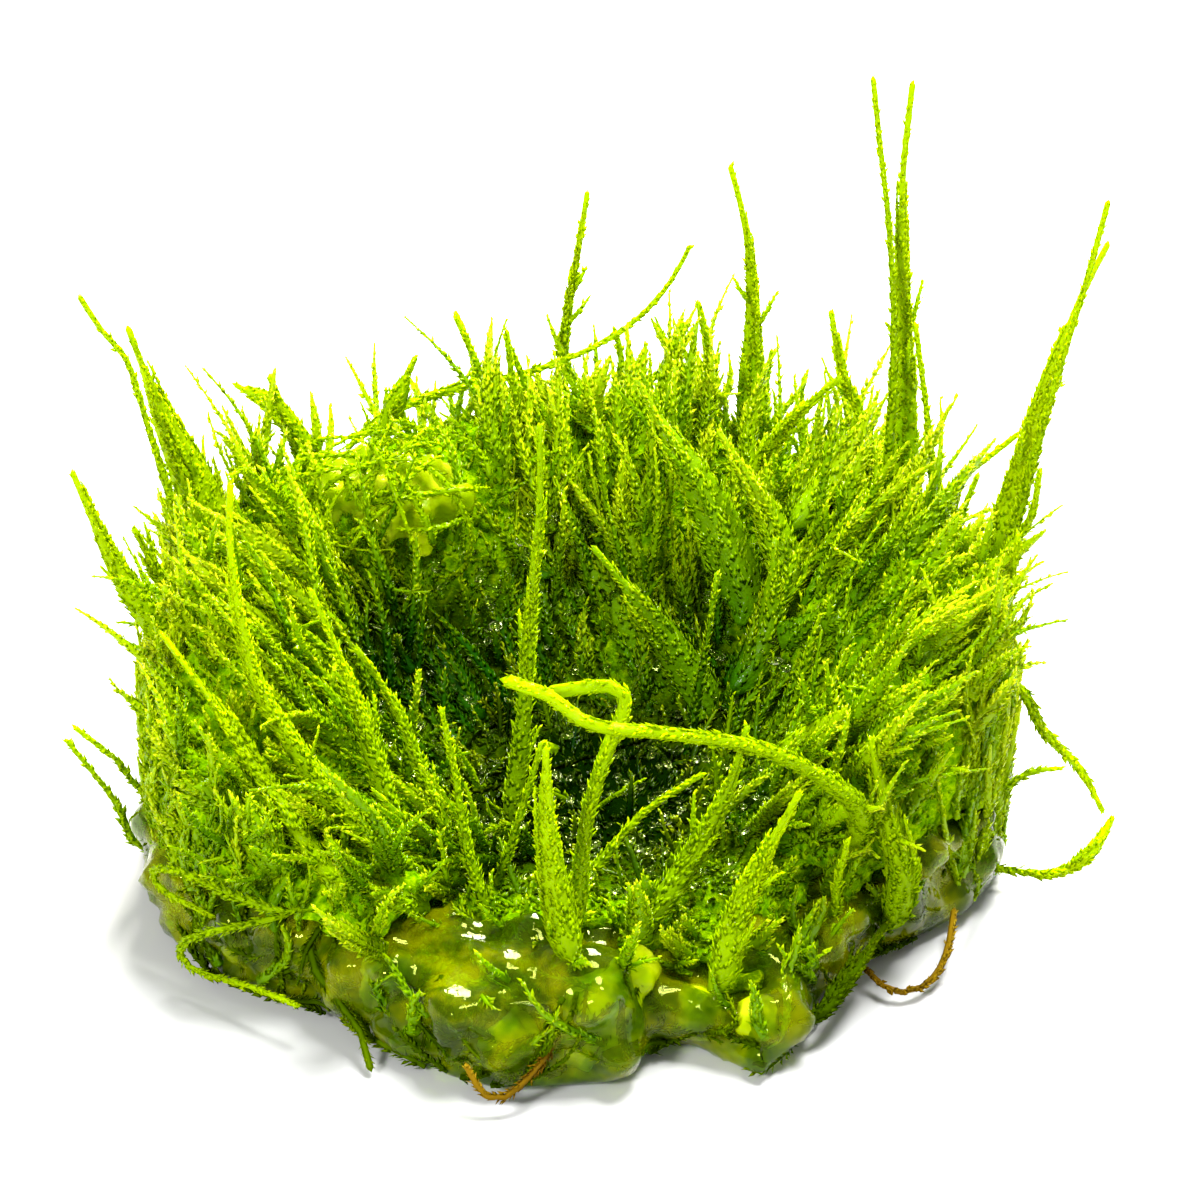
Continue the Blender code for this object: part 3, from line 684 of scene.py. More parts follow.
def add_tuft(gathered, line, halves, rng, tone, loose=3, ends=1.0, spread=1.0, broadside=None, **more):
    """A tuft along a line, and loose stems that leave it."""
    gathered.add_leafy(line, halves, rng, tone, broadside=broadside, **more)
    if is_narrow(halves):
        return
    _, across, out = frames_of(line, broadside)
    count = len(line)
    inside = widths_at(halves, count) - STEM_HALF
    for _ in range(loose):
        first = int(rng.uniform(*LEAVES_AT) * count)
        last = max(first + 5, int(rng.uniform(LEAST_END, ends) * count))
        turn = rng.uniform(0, math.tau)
        away = across[first] * math.cos(turn) + out[first] * math.sin(turn) * 0.7
        stretch = line[first:last]
        apart = rng.uniform(0.1, spread) * MM * shares(len(stretch)) ** 1.5
        path = stretch + away * (np.maximum(inside[first:last], 0)[:, None] + apart)
        gathered.add_stem(path, rng, min(max(tone + rng.normal(0.08, 0.12), 0.0), 1.0), lean=30.0)


# %% [markdown]
# ## The shoots
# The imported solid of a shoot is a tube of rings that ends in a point. Walking over its mesh
# from the point, one ring at a time, gives back the shoot's middle line and its width.

# %% Read a shoot's line from its solid
RING_SIDES = 6
SAME_PLACE = 0.002 * MM


def rings_of(node):
    """Centres and half widths of a shoot's rings, from foot to tip."""
    mesh = frame["nodes"][node].data
    places = np.array([vert.co[:] for vert in mesh.vertices])
    rounded = np.round(places / SAME_PLACE).astype(np.int64)
    _, first, index = np.unique(rounded, axis=0, return_index=True, return_inverse=True)
    places, index = places[first], index.reshape(-1)
    near = [set() for _ in places]
    for polygon in mesh.polygons:
        corners = [int(index[i]) for i in polygon.vertices]
        for i in corners:
            near[i].update(j for j in corners if j != i)

    def levels_from(start):
        seen, levels = {start}, [[start]]
        while levels[-1]:
            levels.append(sorted({j for i in levels[-1] for j in near[i]} - seen))
            seen.update(levels[-1])
        return levels[:-1]

    # Only from the tip does every step of the walk take in a whole ring
    walks = [levels_from(i) for i in range(len(places))]
    best = min(walks, key=lambda walk: sum(abs(len(level) - RING_SIDES) for level in walk[1:]))
    rings = [places[level] for level in best[::-1]]
    centres = np.array([ring.mean(axis=0) for ring in rings])
    halves = np.array([np.linalg.norm(ring - ring.mean(axis=0), axis=1).max() for ring in rings])
    # The foot ring is cut at an angle, so its width says nothing
    halves[0] = halves[1]
    return centres, halves


# %% [markdown]
# Young side sprigs stand off a wide shoot here and there. They leave its lower half at a slant
# and bend back towards its own direction. Each could be placed by hand, but there are too many,
# so their places and lengths are drawn at random within limits.

# %% Side sprigs
SPRIG_LENGTH = (1.8 * MM, 3.6 * MM)
SPRIG_STEP, SPRIG_SLANT, SIDE_HALF = 8.0 * MM, (0.35, 0.9), 0.34 * MM


def add_side_sprigs(gathered, line, halves, rng, tone):
    """Short stems that leave a shoot at a slant."""
    along, across, out = frames_of(line)
    length = np.linalg.norm(np.diff(line, axis=0), axis=1).sum()
    for _ in range(int(length / SPRIG_STEP)):
        start = rng.integers(len(line) // 6, len(line) // 2 + 1)
        turn = rng.uniform(0, math.tau)
        away = across[start] * math.cos(turn) + out[start] * math.sin(turn)
        direction = unit(along[start] + away * rng.uniform(*SPRIG_SLANT))
        reach = rng.uniform(*SPRIG_LENGTH)
        foot = line[start] + away * halves[start] * 0.3
        t = shares(6)
        path = foot + direction * reach * t + along[start] * reach * 0.25 * t**2
        gathered.add_stem(path, rng, min(tone + 0.1, 1.0), half=SIDE_HALF, size=0.85, lean=32.0)


# %% [markdown]
# A wide shoot is a tuft and a narrow one is a single stem. Both reach a little way into what
# they grow from. The shoots that hang over the front are wet and look smoother, so their leaves
# lie closer. Each piece stands for the solid whose line it follows, so a shoot can be dressed
# anew without touching its neighbours.

# %% Dress every shoot
ROOT_LENGTH = 1.6 * MM
ROOT_SINK = 1.6 * MM
FOOT_TAPER = ([0.0, 0.14], [0.3, 1.0])
SHOOT_LEAST = 0.38 * MM
BLUNT_SHOOTS, BLUNT_LEAST = ("arch_front", "shoot_front_hook"), 0.60 * MM
SMOOTH_SHOOTS = (*BLUNT_SHOOTS, "shoot_front_bright", "shoot_front_middle", "arch_left_front")
LIT_SHOOTS = ("shoot_front", "shoot_centre", "arch", "shoot_right_front", "shoot_left", "tuft_hollow_lit")
# Leaves make a shoot wider than its solid, or narrower, by these factors
WIDER = {
    "shoot_left_tall": 1.2, "shoot_front_bright": 1.1, "shoot_front_hook": 1.1,
    "arch_front": 1.15, "arch_left_front": 0.85, "shoot_front_left_tall": 1.1,
    "shoot_centre_tall": 1.1, "shoot_right_tall": 1.1, "tuft_hollow_lit": 1.1,
}
SMOOTH_COVER = 8.5 / MM**2
RUNNER_LEAST = 0.32 * MM
# The lit shoots take on this share of the hollow's painted shade
IN_THE_LIGHT = 0.3
SLOTS = {s["node"]: s["material_slot"] for s in frame["record"]["subparts"]}
LEAF_OF_SLOT = {"young_moss": young_leaf, "moss": old_leaf, "old_runner": runner_bark}
LEAF_OF_NODE = {"runner_front_left": drowned_leaf, "stem_band_front_right": drowned_leaf}


def dress_shoot(node, seed):
    """One piece of leafy stems along a shoot's solid."""
    rng = np.random.default_rng(seed)
    slot = SLOTS[node]
    centres, halves = rings_of(node)
    inwards = np.append(HOLLOW_PLAN - centres[0][:2], 0.0)
    root = centres[0] - unit(centres[1] - centres[0]) * ROOT_LENGTH + unit(inwards) * ROOT_SINK
    line = smooth_line(np.vstack([root, centres]))
    halves = widths_at(np.append(halves[0], halves), len(line))
    narrows = np.interp(np.linspace(0, 1, len(line)), *FOOT_TAPER)
    halves = np.maximum(halves * WIDER.get(node, 1.0), SHOOT_LEAST) * narrows
    tone = rng.uniform(0.3, 0.8)
    gathered = Gathered()
    if slot == "old_runner":
        gathered.add_leafy(line, np.maximum(halves, RUNNER_LEAST), rng, tone, size=0.8, lean=40.0, rows=2)
    elif node in SMOOTH_SHOOTS:
        if node in BLUNT_SHOOTS:
            halves = np.maximum(halves, BLUNT_LEAST)
        add_tuft(gathered, line, halves, rng, 0.8, flat=0.85, size=0.9, lean=23.0, loose=1,
                 broadside=(1, 0, 0), cover=SMOOTH_COVER)
    else:
        add_tuft(gathered, line, halves, rng, tone, flat=0.7, loose=4, ends=0.85, spread=0.5,
                 broadside=(1, 0, 0))
        if not is_narrow(halves):
            add_side_sprigs(gathered, line, halves, rng, tone)
    shade = IN_THE_LIGHT if node.startswith(LIT_SHOOTS) else 1.0
    leaf_material = LEAF_OF_NODE.get(node, LEAF_OF_SLOT[slot])
    make_piece("leafy_" + node, gathered, leaf_material, [node], shade)


shoot_nodes = sorted(node for node in frame["nodes"] if node not in ("jelly_slab", "moss_mat"))
for seed, node in enumerate(shoot_nodes):
    dress_shoot(node, 100 + seed)
print("shoots:", len(shoot_nodes), "pieces,", sum(triangle_count.values()), "triangles")

# %% [markdown]
# ## Where the moss grows
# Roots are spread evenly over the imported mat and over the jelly's top where the mat leaves it
# bare. Points are drawn at random on the solids' triangles, and one that falls too near an
# earlier one is dropped: chance alone would leave holes and heaps.

# %% Draw places on a surface
NEIGHBOURS = [(i, j, k) for i in (-1, 0, 1) for j in (-1, 0, 1) for k in (-1, 0, 1)]


def surface_of(mesh):
    """A mesh's triangles: corners, normals and areas."""
    mesh.calc_loop_triangles()
    places = np.array([vert.co[:] for vert in mesh.vertices])
    triangles = np.array([t.vertices[:] for t in mesh.loop_triangles])
    corners = places[triangles]
    normals = np.cross(corners[:, 1] - corners[:, 0], corners[:, 2] - corners[:, 0])
    areas = np.linalg.norm(normals, axis=1) / 2
    return corners, unit(normals), areas


def tree_of(corners):
    """A tree to cast rays at."""
    triangles = [(i, i + 1, i + 2) for i in range(0, 3 * len(corners), 3)]
    return BVHTree.FromPolygons([Vector(p) for p in corners.reshape(-1, 3)], triangles)


def draw_points(corners, normals, areas, tries, rng):
    """Points at random on triangles."""
    chosen = rng.choice(len(areas), tries, p=areas / areas.sum())
    a, b = rng.uniform(0, 1, (2, tries))
    flip = a + b > 1
    a[flip], b[flip] = 1 - a[flip], 1 - b[flip]
    p = corners[chosen]
    return p[:, 0] + (p[:, 1] - p[:, 0]) * a[:, None] + (p[:, 2] - p[:, 0]) * b[:, None], normals[chosen]


def spread_points(surface, chosen, tries, apart, rng):
    """Points at random on the chosen triangles, no two nearer than a given distance."""
    places, ways = draw_points(*(part[chosen] for part in surface), tries, rng)
    kept, cells = [], {}
    for number, place in enumerate(places):
        cell = tuple((place // apart).astype(int))
        near = [cells.get((cell[0] + i, cell[1] + j, cell[2] + k), ()) for i, j, k in NEIGHBOURS]
        if all(np.linalg.norm(places[other] - place) >= apart for group in near for other in group):
            cells.setdefault(cell, []).append(number)
            kept.append(number)
    return places[kept], ways[kept]


# %% [markdown]
# A place's level says how far out it is: 0 in the middle of the hollow and 1 at the outer edge.
# Its bearing is the direction in which it lies. Lengths, slants and colours follow these two,
# so that one rule serves the whole horseshoe.

# %% Levels and bearings
LUMP_PLACE, LUMP_REACH = np.array((-13.8, 17.5)) * MM, 8.0 * MM


def outward_of(place):
    """The level direction away from the hollow's middle, and the distance to it."""
    plan = place[:2] - HOLLOW_PLAN
    distance = max(math.hypot(*plan), 1e-9)
    return np.array((plan[0] / distance, plan[1] / distance, 0.0)), distance


def level_of(place):
    """How far out a place is: 0 in the middle of the hollow, 1 at the clump's edge."""
    outward, distance = outward_of(place)
    along = HOLLOW_PLAN @ outward[:2]
    return distance / (math.sqrt(along**2 - HOLLOW_PLAN @ HOLLOW_PLAN + EDGE_RADIUS**2) - along)


def bearing_of(place):
    """Degrees from +X towards +Y, seen from the hollow's middle, from -45 to 315."""
    return (math.degrees(math.atan2(place[1] - HOLLOW_PLAN[1], place[0] - HOLLOW_PLAN[0])) + 45) % 360 - 45


def in_lumps(place):
    """Whether a place lies under the heap of pale lumps."""
    return math.hypot(*(place[:2] - LUMP_PLACE)) < LUMP_REACH


def hides_lumps(place, length=6.0 * MM):
    """Whether a stem rooted here would lie over the lumps."""
    return in_lumps(place) or in_lumps(place + growth_direction(place, level_of(place)) * length)


mat_surface, jelly_surface = (surface_of(frame["nodes"][node].data) for node in ("moss_mat", "jelly_slab"))
mat_corners, mat_normals, _ = mat_surface
mat_levels = np.array([level_of(c) for c in mat_corners.mean(axis=1)])
jelly_corners, jelly_normals, _ = jelly_surface
mat_tree, jelly_tree = tree_of(mat_corners), tree_of(jelly_corners)
print("mat triangles:", len(mat_corners), "jelly triangles:", len(jelly_corners))

# %% [markdown]
# ## Skins over the solids
# The mat, the skin of old moss on the jelly, the jelly and the cloud inside it all begin as a
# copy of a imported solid. A voxel remesh gives the copy an even skin of small faces, and a
# pattern pushes these in and out. Sculpting could do the same, but a pattern can be repeated.

# %% Helpers that shape a skin
def copy_of_node(node, name):
    """A copy of a CAD node with its loose triangles merged."""
    bpy.ops.object.select_all(action="DESELECT")
    thing = bpy.data.objects.new(name, frame["nodes"][node].data.copy())
    bpy.context.scene.collection.objects.link(thing)
    thing.select_set(True)
    bpy.context.view_layer.objects.active = thing
    bpy.ops.object.mode_set(mode="EDIT")
    bpy.ops.mesh.select_all(action="SELECT")
    bpy.ops.mesh.remove_doubles(threshold=SAME_PLACE)
    bpy.ops.object.mode_set(mode="OBJECT")
    return thing


def apply_modifier(thing, kind, **settings):
    """Adds a modifier with its settings and applies it."""
    modifier = thing.modifiers.new(kind.lower(), kind)
    for key, value in settings.items():
        setattr(modifier, key, value)
    bpy.ops.object.modifier_apply(modifier=modifier.name)


def even_skin(thing, face_size):
    """Covers a mesh evenly with small faces."""
    apply_modifier(thing, "REMESH", mode="VOXEL", voxel_size=face_size)


def displace(thing, texture, strength, middle, group=""):
    """Pushes a mesh in and out by a texture, where a vertex group lets it."""
    apply_modifier(thing, "DISPLACE", texture=texture, texture_coords="LOCAL", strength=strength,
                   mid_level=middle, vertex_group=group)


def clouds(name, size):
    """A soft cloud pattern of a given size."""
    texture = bpy.data.textures.new(name, "CLOUDS")
    texture.noise_scale = size
    texture.noise_depth = 1
    return texture


def cells(name, size):
    """Rounded cells with creases between them, as crushed jelly has."""
    texture = bpy.data.textures.new(name, "VORONOI")
    texture.noise_scale = size
    return texture


def finish_piece(thing, material, nodes=()):
    """Gives a modelled piece its material and body, and hides the nodes that it stands for."""
    thing.data.materials.clear()
    thing.data.materials.append(material)
    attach(thing, "root")
    if nodes:
        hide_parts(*nodes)
    triangle_count[thing.name] = sum(len(polygon.vertices) - 2 for polygon in thing.data.polygons)
    print(thing.name, triangle_count[thing.name], "triangles")


def add_painted_shade(thing):
    """Writes the painted shade of the hollow at each vertex."""
    places = np.empty(len(thing.data.vertices) * 3, np.float32)
    thing.data.vertices.foreach_get("co", places)
    layer = thing.data.attributes.new("painted_shade", "FLOAT", "POINT")
    layer.data.foreach_set("value", painted_shade_in_hollow(places.reshape(-1, 3)).astype(np.float32))


# %% [markdown]
# ## The heart of the mat
# Between the tufts one looks at packed old growth. The skin of the mat is roughened by a cloud
# pattern and pulled in a little, so that the tufts hide most of it.

# %% The heart of the mat
HEART_FACES, HEART_CLOUDS, HEART_PUSH = 0.8 * MM, 2.5 * MM, 1.6 * MM
core = copy_of_node("moss_mat", "moss_heart")
even_skin(core, HEART_FACES)
displace(core, clouds("old_growth", HEART_CLOUDS), HEART_PUSH, 0.75)
bpy.ops.object.shade_smooth()
add_painted_shade(core)
finish_piece(core, heart, ["moss_mat"])

# %% [markdown]
# ## The mat
# On the slope of the hollow the tufts lie uphill, one over the other like thatch, and they get
# steeper towards the rim. Left of the middle they lean left and right of it they lean right,
# and neighbours share a drift, because water pulls them the same way.

# %% Which way the moss grows
STEEPNESS_AT_LEVEL = ([0.3, 0.5, 0.7, 0.85, 1.0], [42, 52, 60, 68, 76])
LEAN_SPLIT, SIDE_LEAN = 12 * MM, 0.18
DRIFT = 0.22


def swell_of(place):
    """Clumps of longer and shorter growth, about 8 mm across: a factor between 0.6 and 1.4."""
    x, y = place[:2] / MM
    wave_x = math.sin(0.71 * x + 0.9 * math.sin(0.33 * y))
    wave_y = math.cos(0.57 * y - 0.8 * math.sin(0.29 * x))
    return 1.0 + 0.4 * wave_x * wave_y


def growth_direction(place, level):
    """Uphill on the slope and nearly upright at the rim."""
    outward, _ = outward_of(place)
    steep = math.radians(np.interp(level, *STEEPNESS_AT_LEVEL))
    direction = outward * math.cos(steep) + UP * math.sin(steep)
    direction[0] += -SIDE_LEAN if place[0] < LEAN_SPLIT else SIDE_LEAN
    x, y = place[:2] / MM
    drift = np.array((math.sin(0.42 * x + 0.23 * y), math.sin(0.31 * y - 0.37 * x + 1.7), 0.0))
    return unit(direction + DRIFT * drift)


# %% [markdown]
# Tufts are longest half way up the slope and get shorter towards the rim. Short single sprigs
# fill the room between them. No two are copies: length, width, sway and tone are drawn for
# each, within the limits below.

# %% One tuft and one sprig
LENGTH_AT_LEVEL = ([0.3, 0.5, 0.7, 0.85, 1.0], [9.0, 12.0, 10.5, 7.0, 4.5])
# Round the pale lumps, between these bearings, the tufts at the rim are short
RIM_LEVEL, SHORT_TUFTS, SHORTENED = 0.75, (100, 150), 0.6
# A tuft's half width in mm, and how often each occurs
TUFT_HALVES, TUFT_SHARES = (0.6, 0.9, 1.25), (0.45, 0.38, 0.17)
# Factors on a tuft's length and width, and its sway as a share of its length
TUFT_LENGTHS, TUFT_WIDTHS, TUFT_SWAY = (0.6, 1.25), (0.85, 1.2), (0.03, 0.16)
# A sprig's half width in mm, the size of its leaves, and its curl as a share of its length
SPRIG_HALVES, SPRIG_LEAVES, SPRIG_CURL = (0.30, 0.42), (0.8, 1.0), (0.05, 0.45)
ROOT_DEPTH = 0.6 * MM


def grow_tuft(gathered, place, normal, rng):
    """One wet tuft that lies up the slope or stands on the rim."""
    level = level_of(place)
    direction = unit(growth_direction(place, level) + rng.normal(0, 0.13 + 0.14 * (level > 0.8), 3))
    length = np.interp(level, *LENGTH_AT_LEVEL) * swell_of(place) * rng.uniform(*TUFT_LENGTHS) * MM
    if SHORT_TUFTS[0] < bearing_of(place) < SHORT_TUFTS[1] and level > RIM_LEVEL:
        length *= SHORTENED
    root = place - normal * ROOT_DEPTH - direction * 2 * ROOT_DEPTH
    sway = unit(np.cross(direction, rng.normal(0, 1, 3))) * length * rng.uniform(*TUFT_SWAY)
    t = shares(12)
    arch = 4 * t * (1 - t)
    line = root + direction * length * t + sway * arch * rng.choice((-1, 1)) + sway * 0.7 * t**2
    half = rng.choice(TUFT_HALVES, p=TUFT_SHARES) * rng.uniform(*TUFT_WIDTHS) * MM
    share = t[:, 0]
    halves = half * (0.8 + 0.25 * np.sin(share * math.pi)) * (1 - 0.85 * share**1.8) + 0.1 * MM
    add_tuft(gathered, line, halves, rng, rng.uniform(0.0, 1.0), loose=int(rng.integers(2, 5)),
             flat=0.6, lean=rng.uniform(24, 36), broadside=np.cross(direction, normal), cover=5.6 / MM**2)


def grow_sprig(gathered, place, normal, rng, length, spread, rows=0, lean=38.0, tones=(0.0, 1.0)):
    """One short leafy stem in a direction of its own."""
    base = growth_direction(place, level_of(place))
    direction = unit(base + normal * 0.35 + rng.normal(0, spread, 3))
    root = place - normal * ROOT_DEPTH
    curl = unit(np.cross(direction, rng.normal(0, 1, 3))) * length * rng.uniform(*SPRIG_CURL)
    t = shares(6)
    path = root + direction * length * t + curl * t**2
    gathered.add_stem(path, rng, rng.uniform(*tones), half=rng.uniform(*SPRIG_HALVES) * MM,
                      size=rng.uniform(*SPRIG_LEAVES), lean=lean, rows=rows, cover=5.0 / MM**2)


# %% [markdown]
# The horseshoe is cut into six pieces by bearing, so that no mesh gets too large to work with.
# Few stems grow over the pale lumps, and fewer tufts at the rim, where the photograph shows
# gaps between the tips.

# %% Plant the mat
SECTORS = {
    "moss_right": (-45, 25),
    "moss_back_right": (25, 65),
    "moss_back": (65, 105),
    "moss_back_left": (105, 150),
    "moss_left": (150, 200),
    "moss_front_left": (200, 245),
}
# Roots lie on the mat's top: up to this level, and where it faces up at least this much
TOP_LEVEL, TOP_SLANT = 0.97, 0.05
TUFT_TRIES, TUFT_APART = 9000, 2.8 * MM
SPRIG_TRIES, SPRIG_APART = 14000, 1.7 * MM
THIN_RIM = 0.86
# The share of tufts and sprigs left out over the lumps, and of tufts at the rim
NO_TUFTS, NO_SPRIGS, FEWER_AT_RIM = 0.96, 0.88, 0.3
# The share of sprigs that grow long, and how long sprigs are in mm
LONG_AT_RIM, LONG_INSIDE = 0.30, 0.10
LONG_SPRIGS, SHORT_SPRIGS = (5.0, 10.0), (2.4, 4.8)


def sector_of(place):
    """The name of the piece that a place on the mat belongs to."""
    bearing = bearing_of(place)
    found = (name for name, (low, high) in SECTORS.items() if low <= bearing < high)
    return next(found, "moss_front_left")


on_top = (mat_levels < TOP_LEVEL) & (mat_normals[:, 2] > TOP_SLANT)
rng = np.random.default_rng(5)
tuft_roots = spread_points(mat_surface, on_top, TUFT_TRIES, TUFT_APART, rng)
sprig_roots = spread_points(mat_surface, on_top, SPRIG_TRIES, SPRIG_APART, rng)
gathered_of = {name: Gathered() for name in SECTORS}
for place, normal in zip(*tuft_roots):
    if hides_lumps(place) and rng.uniform() < NO_TUFTS:
        continue
    if level_of(place) > THIN_RIM and rng.uniform() < FEWER_AT_RIM:
        continue
    grow_tuft(gathered_of[sector_of(place)], place, normal, rng)
for place, normal in zip(*sprig_roots):
    if in_lumps(place) and rng.uniform() < NO_SPRIGS:
        continue
    long_one = rng.uniform() < (LONG_AT_RIM if level_of(place) > RIM_LEVEL else LONG_INSIDE)
    length = rng.uniform(*LONG_SPRIGS) if long_one else rng.uniform(*SHORT_SPRIGS)
    grow_sprig(gathered_of[sector_of(place)], place, normal, rng, length * MM, 0.35 if long_one else 0.5)
print("tufts:", len(tuft_roots[0]), "sprigs:", len(sprig_roots[0]))

# %% [markdown]
# Near the bottom of the hollow the slope is covered with long wet stems, combed uphill and
# close to each other.

# %% Comb stems up the inner slope
COMBED_TRIES, COMBED_APART, COMBED_LEVEL = 6000, 1.7 * MM, 0.66
COMBED_SINK, COMBED_TIP = 0.3 * MM, 1.2 * MM
COMBED_LENGTHS, COMBED_HALVES, COMBED_BOW = (6.0, 11.0), (0.34, 0.56), (0.02, 0.12)
NOT_OVER_LUMPS = 0.92


def grow_combed(gathered, place, normal, rng):
    """One long stem that lies up the slope."""
    direction = growth_direction(place, level_of(place))
    direction = unit(direction - normal * (direction @ normal) * 0.8 + rng.normal(0, 0.15, 3))
    length = rng.uniform(*COMBED_LENGTHS) * MM
    bow = normal * length * rng.uniform(*COMBED_BOW)
    t = shares(8)
    path = place - normal * COMBED_SINK + direction * length * t
    path = path + bow * (4 * t * (1 - t)) + normal * COMBED_TIP * t**2
    gathered.add_stem(path, rng, rng.uniform(0, 1), half=rng.uniform(*COMBED_HALVES) * MM,
                      lean=rng.uniform(22, 34), cover=4.8 / MM**2)


on_slope = on_top & (mat_levels < COMBED_LEVEL)
combed_roots = spread_points(mat_surface, on_slope, COMBED_TRIES, COMBED_APART, rng)
for place, normal in zip(*combed_roots):
    if hides_lumps(place) and rng.uniform() < NOT_OVER_LUMPS:
        continue
    grow_combed(gathered_of[sector_of(place)], place, normal, rng)
print("combed stems:", len(combed_roots[0]))

# %% [markdown]
# A few single stems reach well above the rim, and two at the left fork and curl. Their feet
# lie in the mat. Each is given by its outer half width and by points from foot to tip, in mm.

# %% Single stems above the rim
RIM_STEMS = [
    (0.62, ((-18.4, 20, 20.5), (-19.8, 20, 23.0), (-22.3, 20, 27.0), (-24.5, 20, 28.0))),
    (0.50, ((-20.0, 20, 22.0), (-21.4, 20, 24.7), (-21.9, 20, 26.5), (-22.7, 20, 29.0))),
    (0.46, ((-6.2, 24, 22.0), (-6.9, 24, 25.1), (-7.8, 24, 28.4), (-9.2, 24, 31.9))),
    (0.44, ((-3.4, 24, 22.5), (-3.9, 24, 25.8), (-4.7, 24, 28.0), (-5.5, 24, 30.2))),
    (0.44, ((-12.2, 22, 21.0), (-12.8, 22, 23.6), (-13.4, 22, 26.1), (-12.3, 22, 29.3))),
    (0.46, ((4.6, 27, 19.5), (5.5, 27, 22.7), (6.5, 27, 26.1), (7.5, 27, 29.9))),
    (0.50, ((10.6, 27, 20.0), (10.1, 27, 23.5), (9.5, 27, 27.7), (8.8, 27, 31.2))),
    (0.44, ((13.8, 27, 19.0), (14.0, 27, 21.8), (13.8, 27, 24.4), (14.2, 27, 27.6))),
    (0.46, ((21.0, 25, 18.5), (20.1, 25, 22.4), (19.3, 25, 26.6), (18.6, 25, 30.6))),
    (0.44, ((17.6, 25, 18.0), (16.8, 25, 21.5), (16.3, 25, 24.5), (16.7, 25, 26.7))),
    (0.44, ((2.0, 27, 20.0), (2.5, 27, 23.5), (3.0, 27, 26.9), (2.5, 27, 29.4))),
    (0.46, ((27.6, 0, 21.0), (29.3, 0, 25.0), (31.2, 0, 28.2), (31.7, 0, 32.1))),
    (0.44, ((27.0, -4, 7.4), (29.7, -4, 8.6), (31.7, -4, 10.1), (33.8, -4, 10.4))),
]
RIM_TAPER = np.array((0.7, 1.0, 1.0, 0.95, 0.9, 0.8))
above_rim = Gathered()
for half, path in RIM_STEMS:
    line = smooth_line(np.array(path) * MM, 24)
    above_rim.add_leafy(line, half * MM * RIM_TAPER, rng, rng.uniform(0.2, 0.8), lean=30.0)
make_piece("stems_above_rim", above_rim, young_leaf)
print("stems above the rim:", len(RIM_STEMS))

# %% [markdown]
# ## The outer wall
# Outside, the stems grew up along the cup's wall. They run upwards, pressed flat, drift to one
# side or the other, and only their tips come free. A shrinkwrap modifier could press finished
# stems on the wall, but it would press their leaves flat as well. So a ray cast inwards at each
# height finds the wall, and the stem's path follows it before any leaf is made.

# %% Grow strands on the wall
WALL_TRIES, WALL_APART, WALL_LEVEL = 9000, 1.7 * MM, 0.9
WALL_SLANTS, FACES_OUT = (-0.3, 0.6), 0.2
FAR_OUT = 60 * MM
# Half widths in mm and how they narrow, drift and waves in radians, length past the root in mm
STRAND_HALVES, STRAND_TAPER = (0.38, 0.75), np.array((0.9, 1.0, 0.9, 0.7, 0.4))
STRAND_DRIFT, STRAND_WAVES, LAST_PHASE = 0.10, (0.0, 0.03), 6
PAST_ROOT = (3.5, 6.0)
LOWEST_START = 0.8 * MM
# How far the wall may step back before a strand stays where it is, and how deep in mm it lies
STEP_BACK, STRAND_SINK = 1.5 * MM, 0.25
# How far below its root a strand may begin, by bearing. At the left front the jelly shows
LONGEST_DROP = ([19, 21, 190, 202, 262, 275], [9.0, 5.5, 5.5, 1.8, 1.8, 5.5])


def wall_at(angle, height, trees=(mat_tree, jelly_tree)):
    """The outermost point of the clump at a bearing from the origin and a height."""
    outward = Vector(outward_at(angle))
    best = None
    for tree in trees:
        hit = tree.ray_cast(outward * FAR_OUT + Vector((0, 0, height)), -outward)
        if hit[0] is not None and (best is None or hit[0].xy.length > best.xy.length):
            best = hit[0]
    return None if best is None else np.array(best)


def grow_strand(gathered, place, rng, length, tone, free=0.75):
    """A strand that climbs the wall, with its tip a little way off it."""
    angle = math.atan2(place[1], place[0])
    drift = rng.normal(0, STRAND_DRIFT)
    wave, phase = rng.uniform(*STRAND_WAVES), rng.uniform(0, LAST_PHASE)
    path, last = [], None
    for share in np.linspace(0, 1, 7):
        height = place[2] + length * share
        turned = angle + drift * share + wave * math.sin(5 * share + phase)
        wall = wall_at(turned, height)
        outward = outward_at(turned)
        reach = (last if last is not None else place) @ outward
        if wall is None or wall @ outward < reach - STEP_BACK:
            wall = outward * reach + UP * height
        last = wall
        path.append(wall + outward * (free * share**2 - STRAND_SINK) * MM)
    halves = rng.uniform(*STRAND_HALVES) * MM * STRAND_TAPER
    gathered.add_leafy(path, halves, rng, tone, flat=0.6, lean=25.0, cover=4.6 / MM**2,
                       broadside=outward_at(angle + math.pi / 2))


slants = mat_normals[:, 2]
on_wall = (mat_levels > WALL_LEVEL) & (slants > WALL_SLANTS[0]) & (slants < WALL_SLANTS[1])
wall_roots = spread_points(mat_surface, on_wall, WALL_TRIES, WALL_APART, rng)
for place, normal in zip(*wall_roots):
    if normal @ outward_of(place)[0] < FACES_OUT:
        continue
    drop = rng.uniform(1.0, np.interp(bearing_of(place), *LONGEST_DROP)) * MM
    start = place - UP * min(drop, place[2] - LOWEST_START)
    length = drop + rng.uniform(*PAST_ROOT) * MM
    grow_strand(gathered_of[sector_of(place)], start, rng, length, rng.uniform(0.0, 1.0))
print("strands on the wall:", len(wall_roots[0]))

# %% [markdown]
# ## Fuzz
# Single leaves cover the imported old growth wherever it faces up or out. They lie roughly the
# way the moss grows there. Hair could do this too, but each leaf has to be a closed mesh.

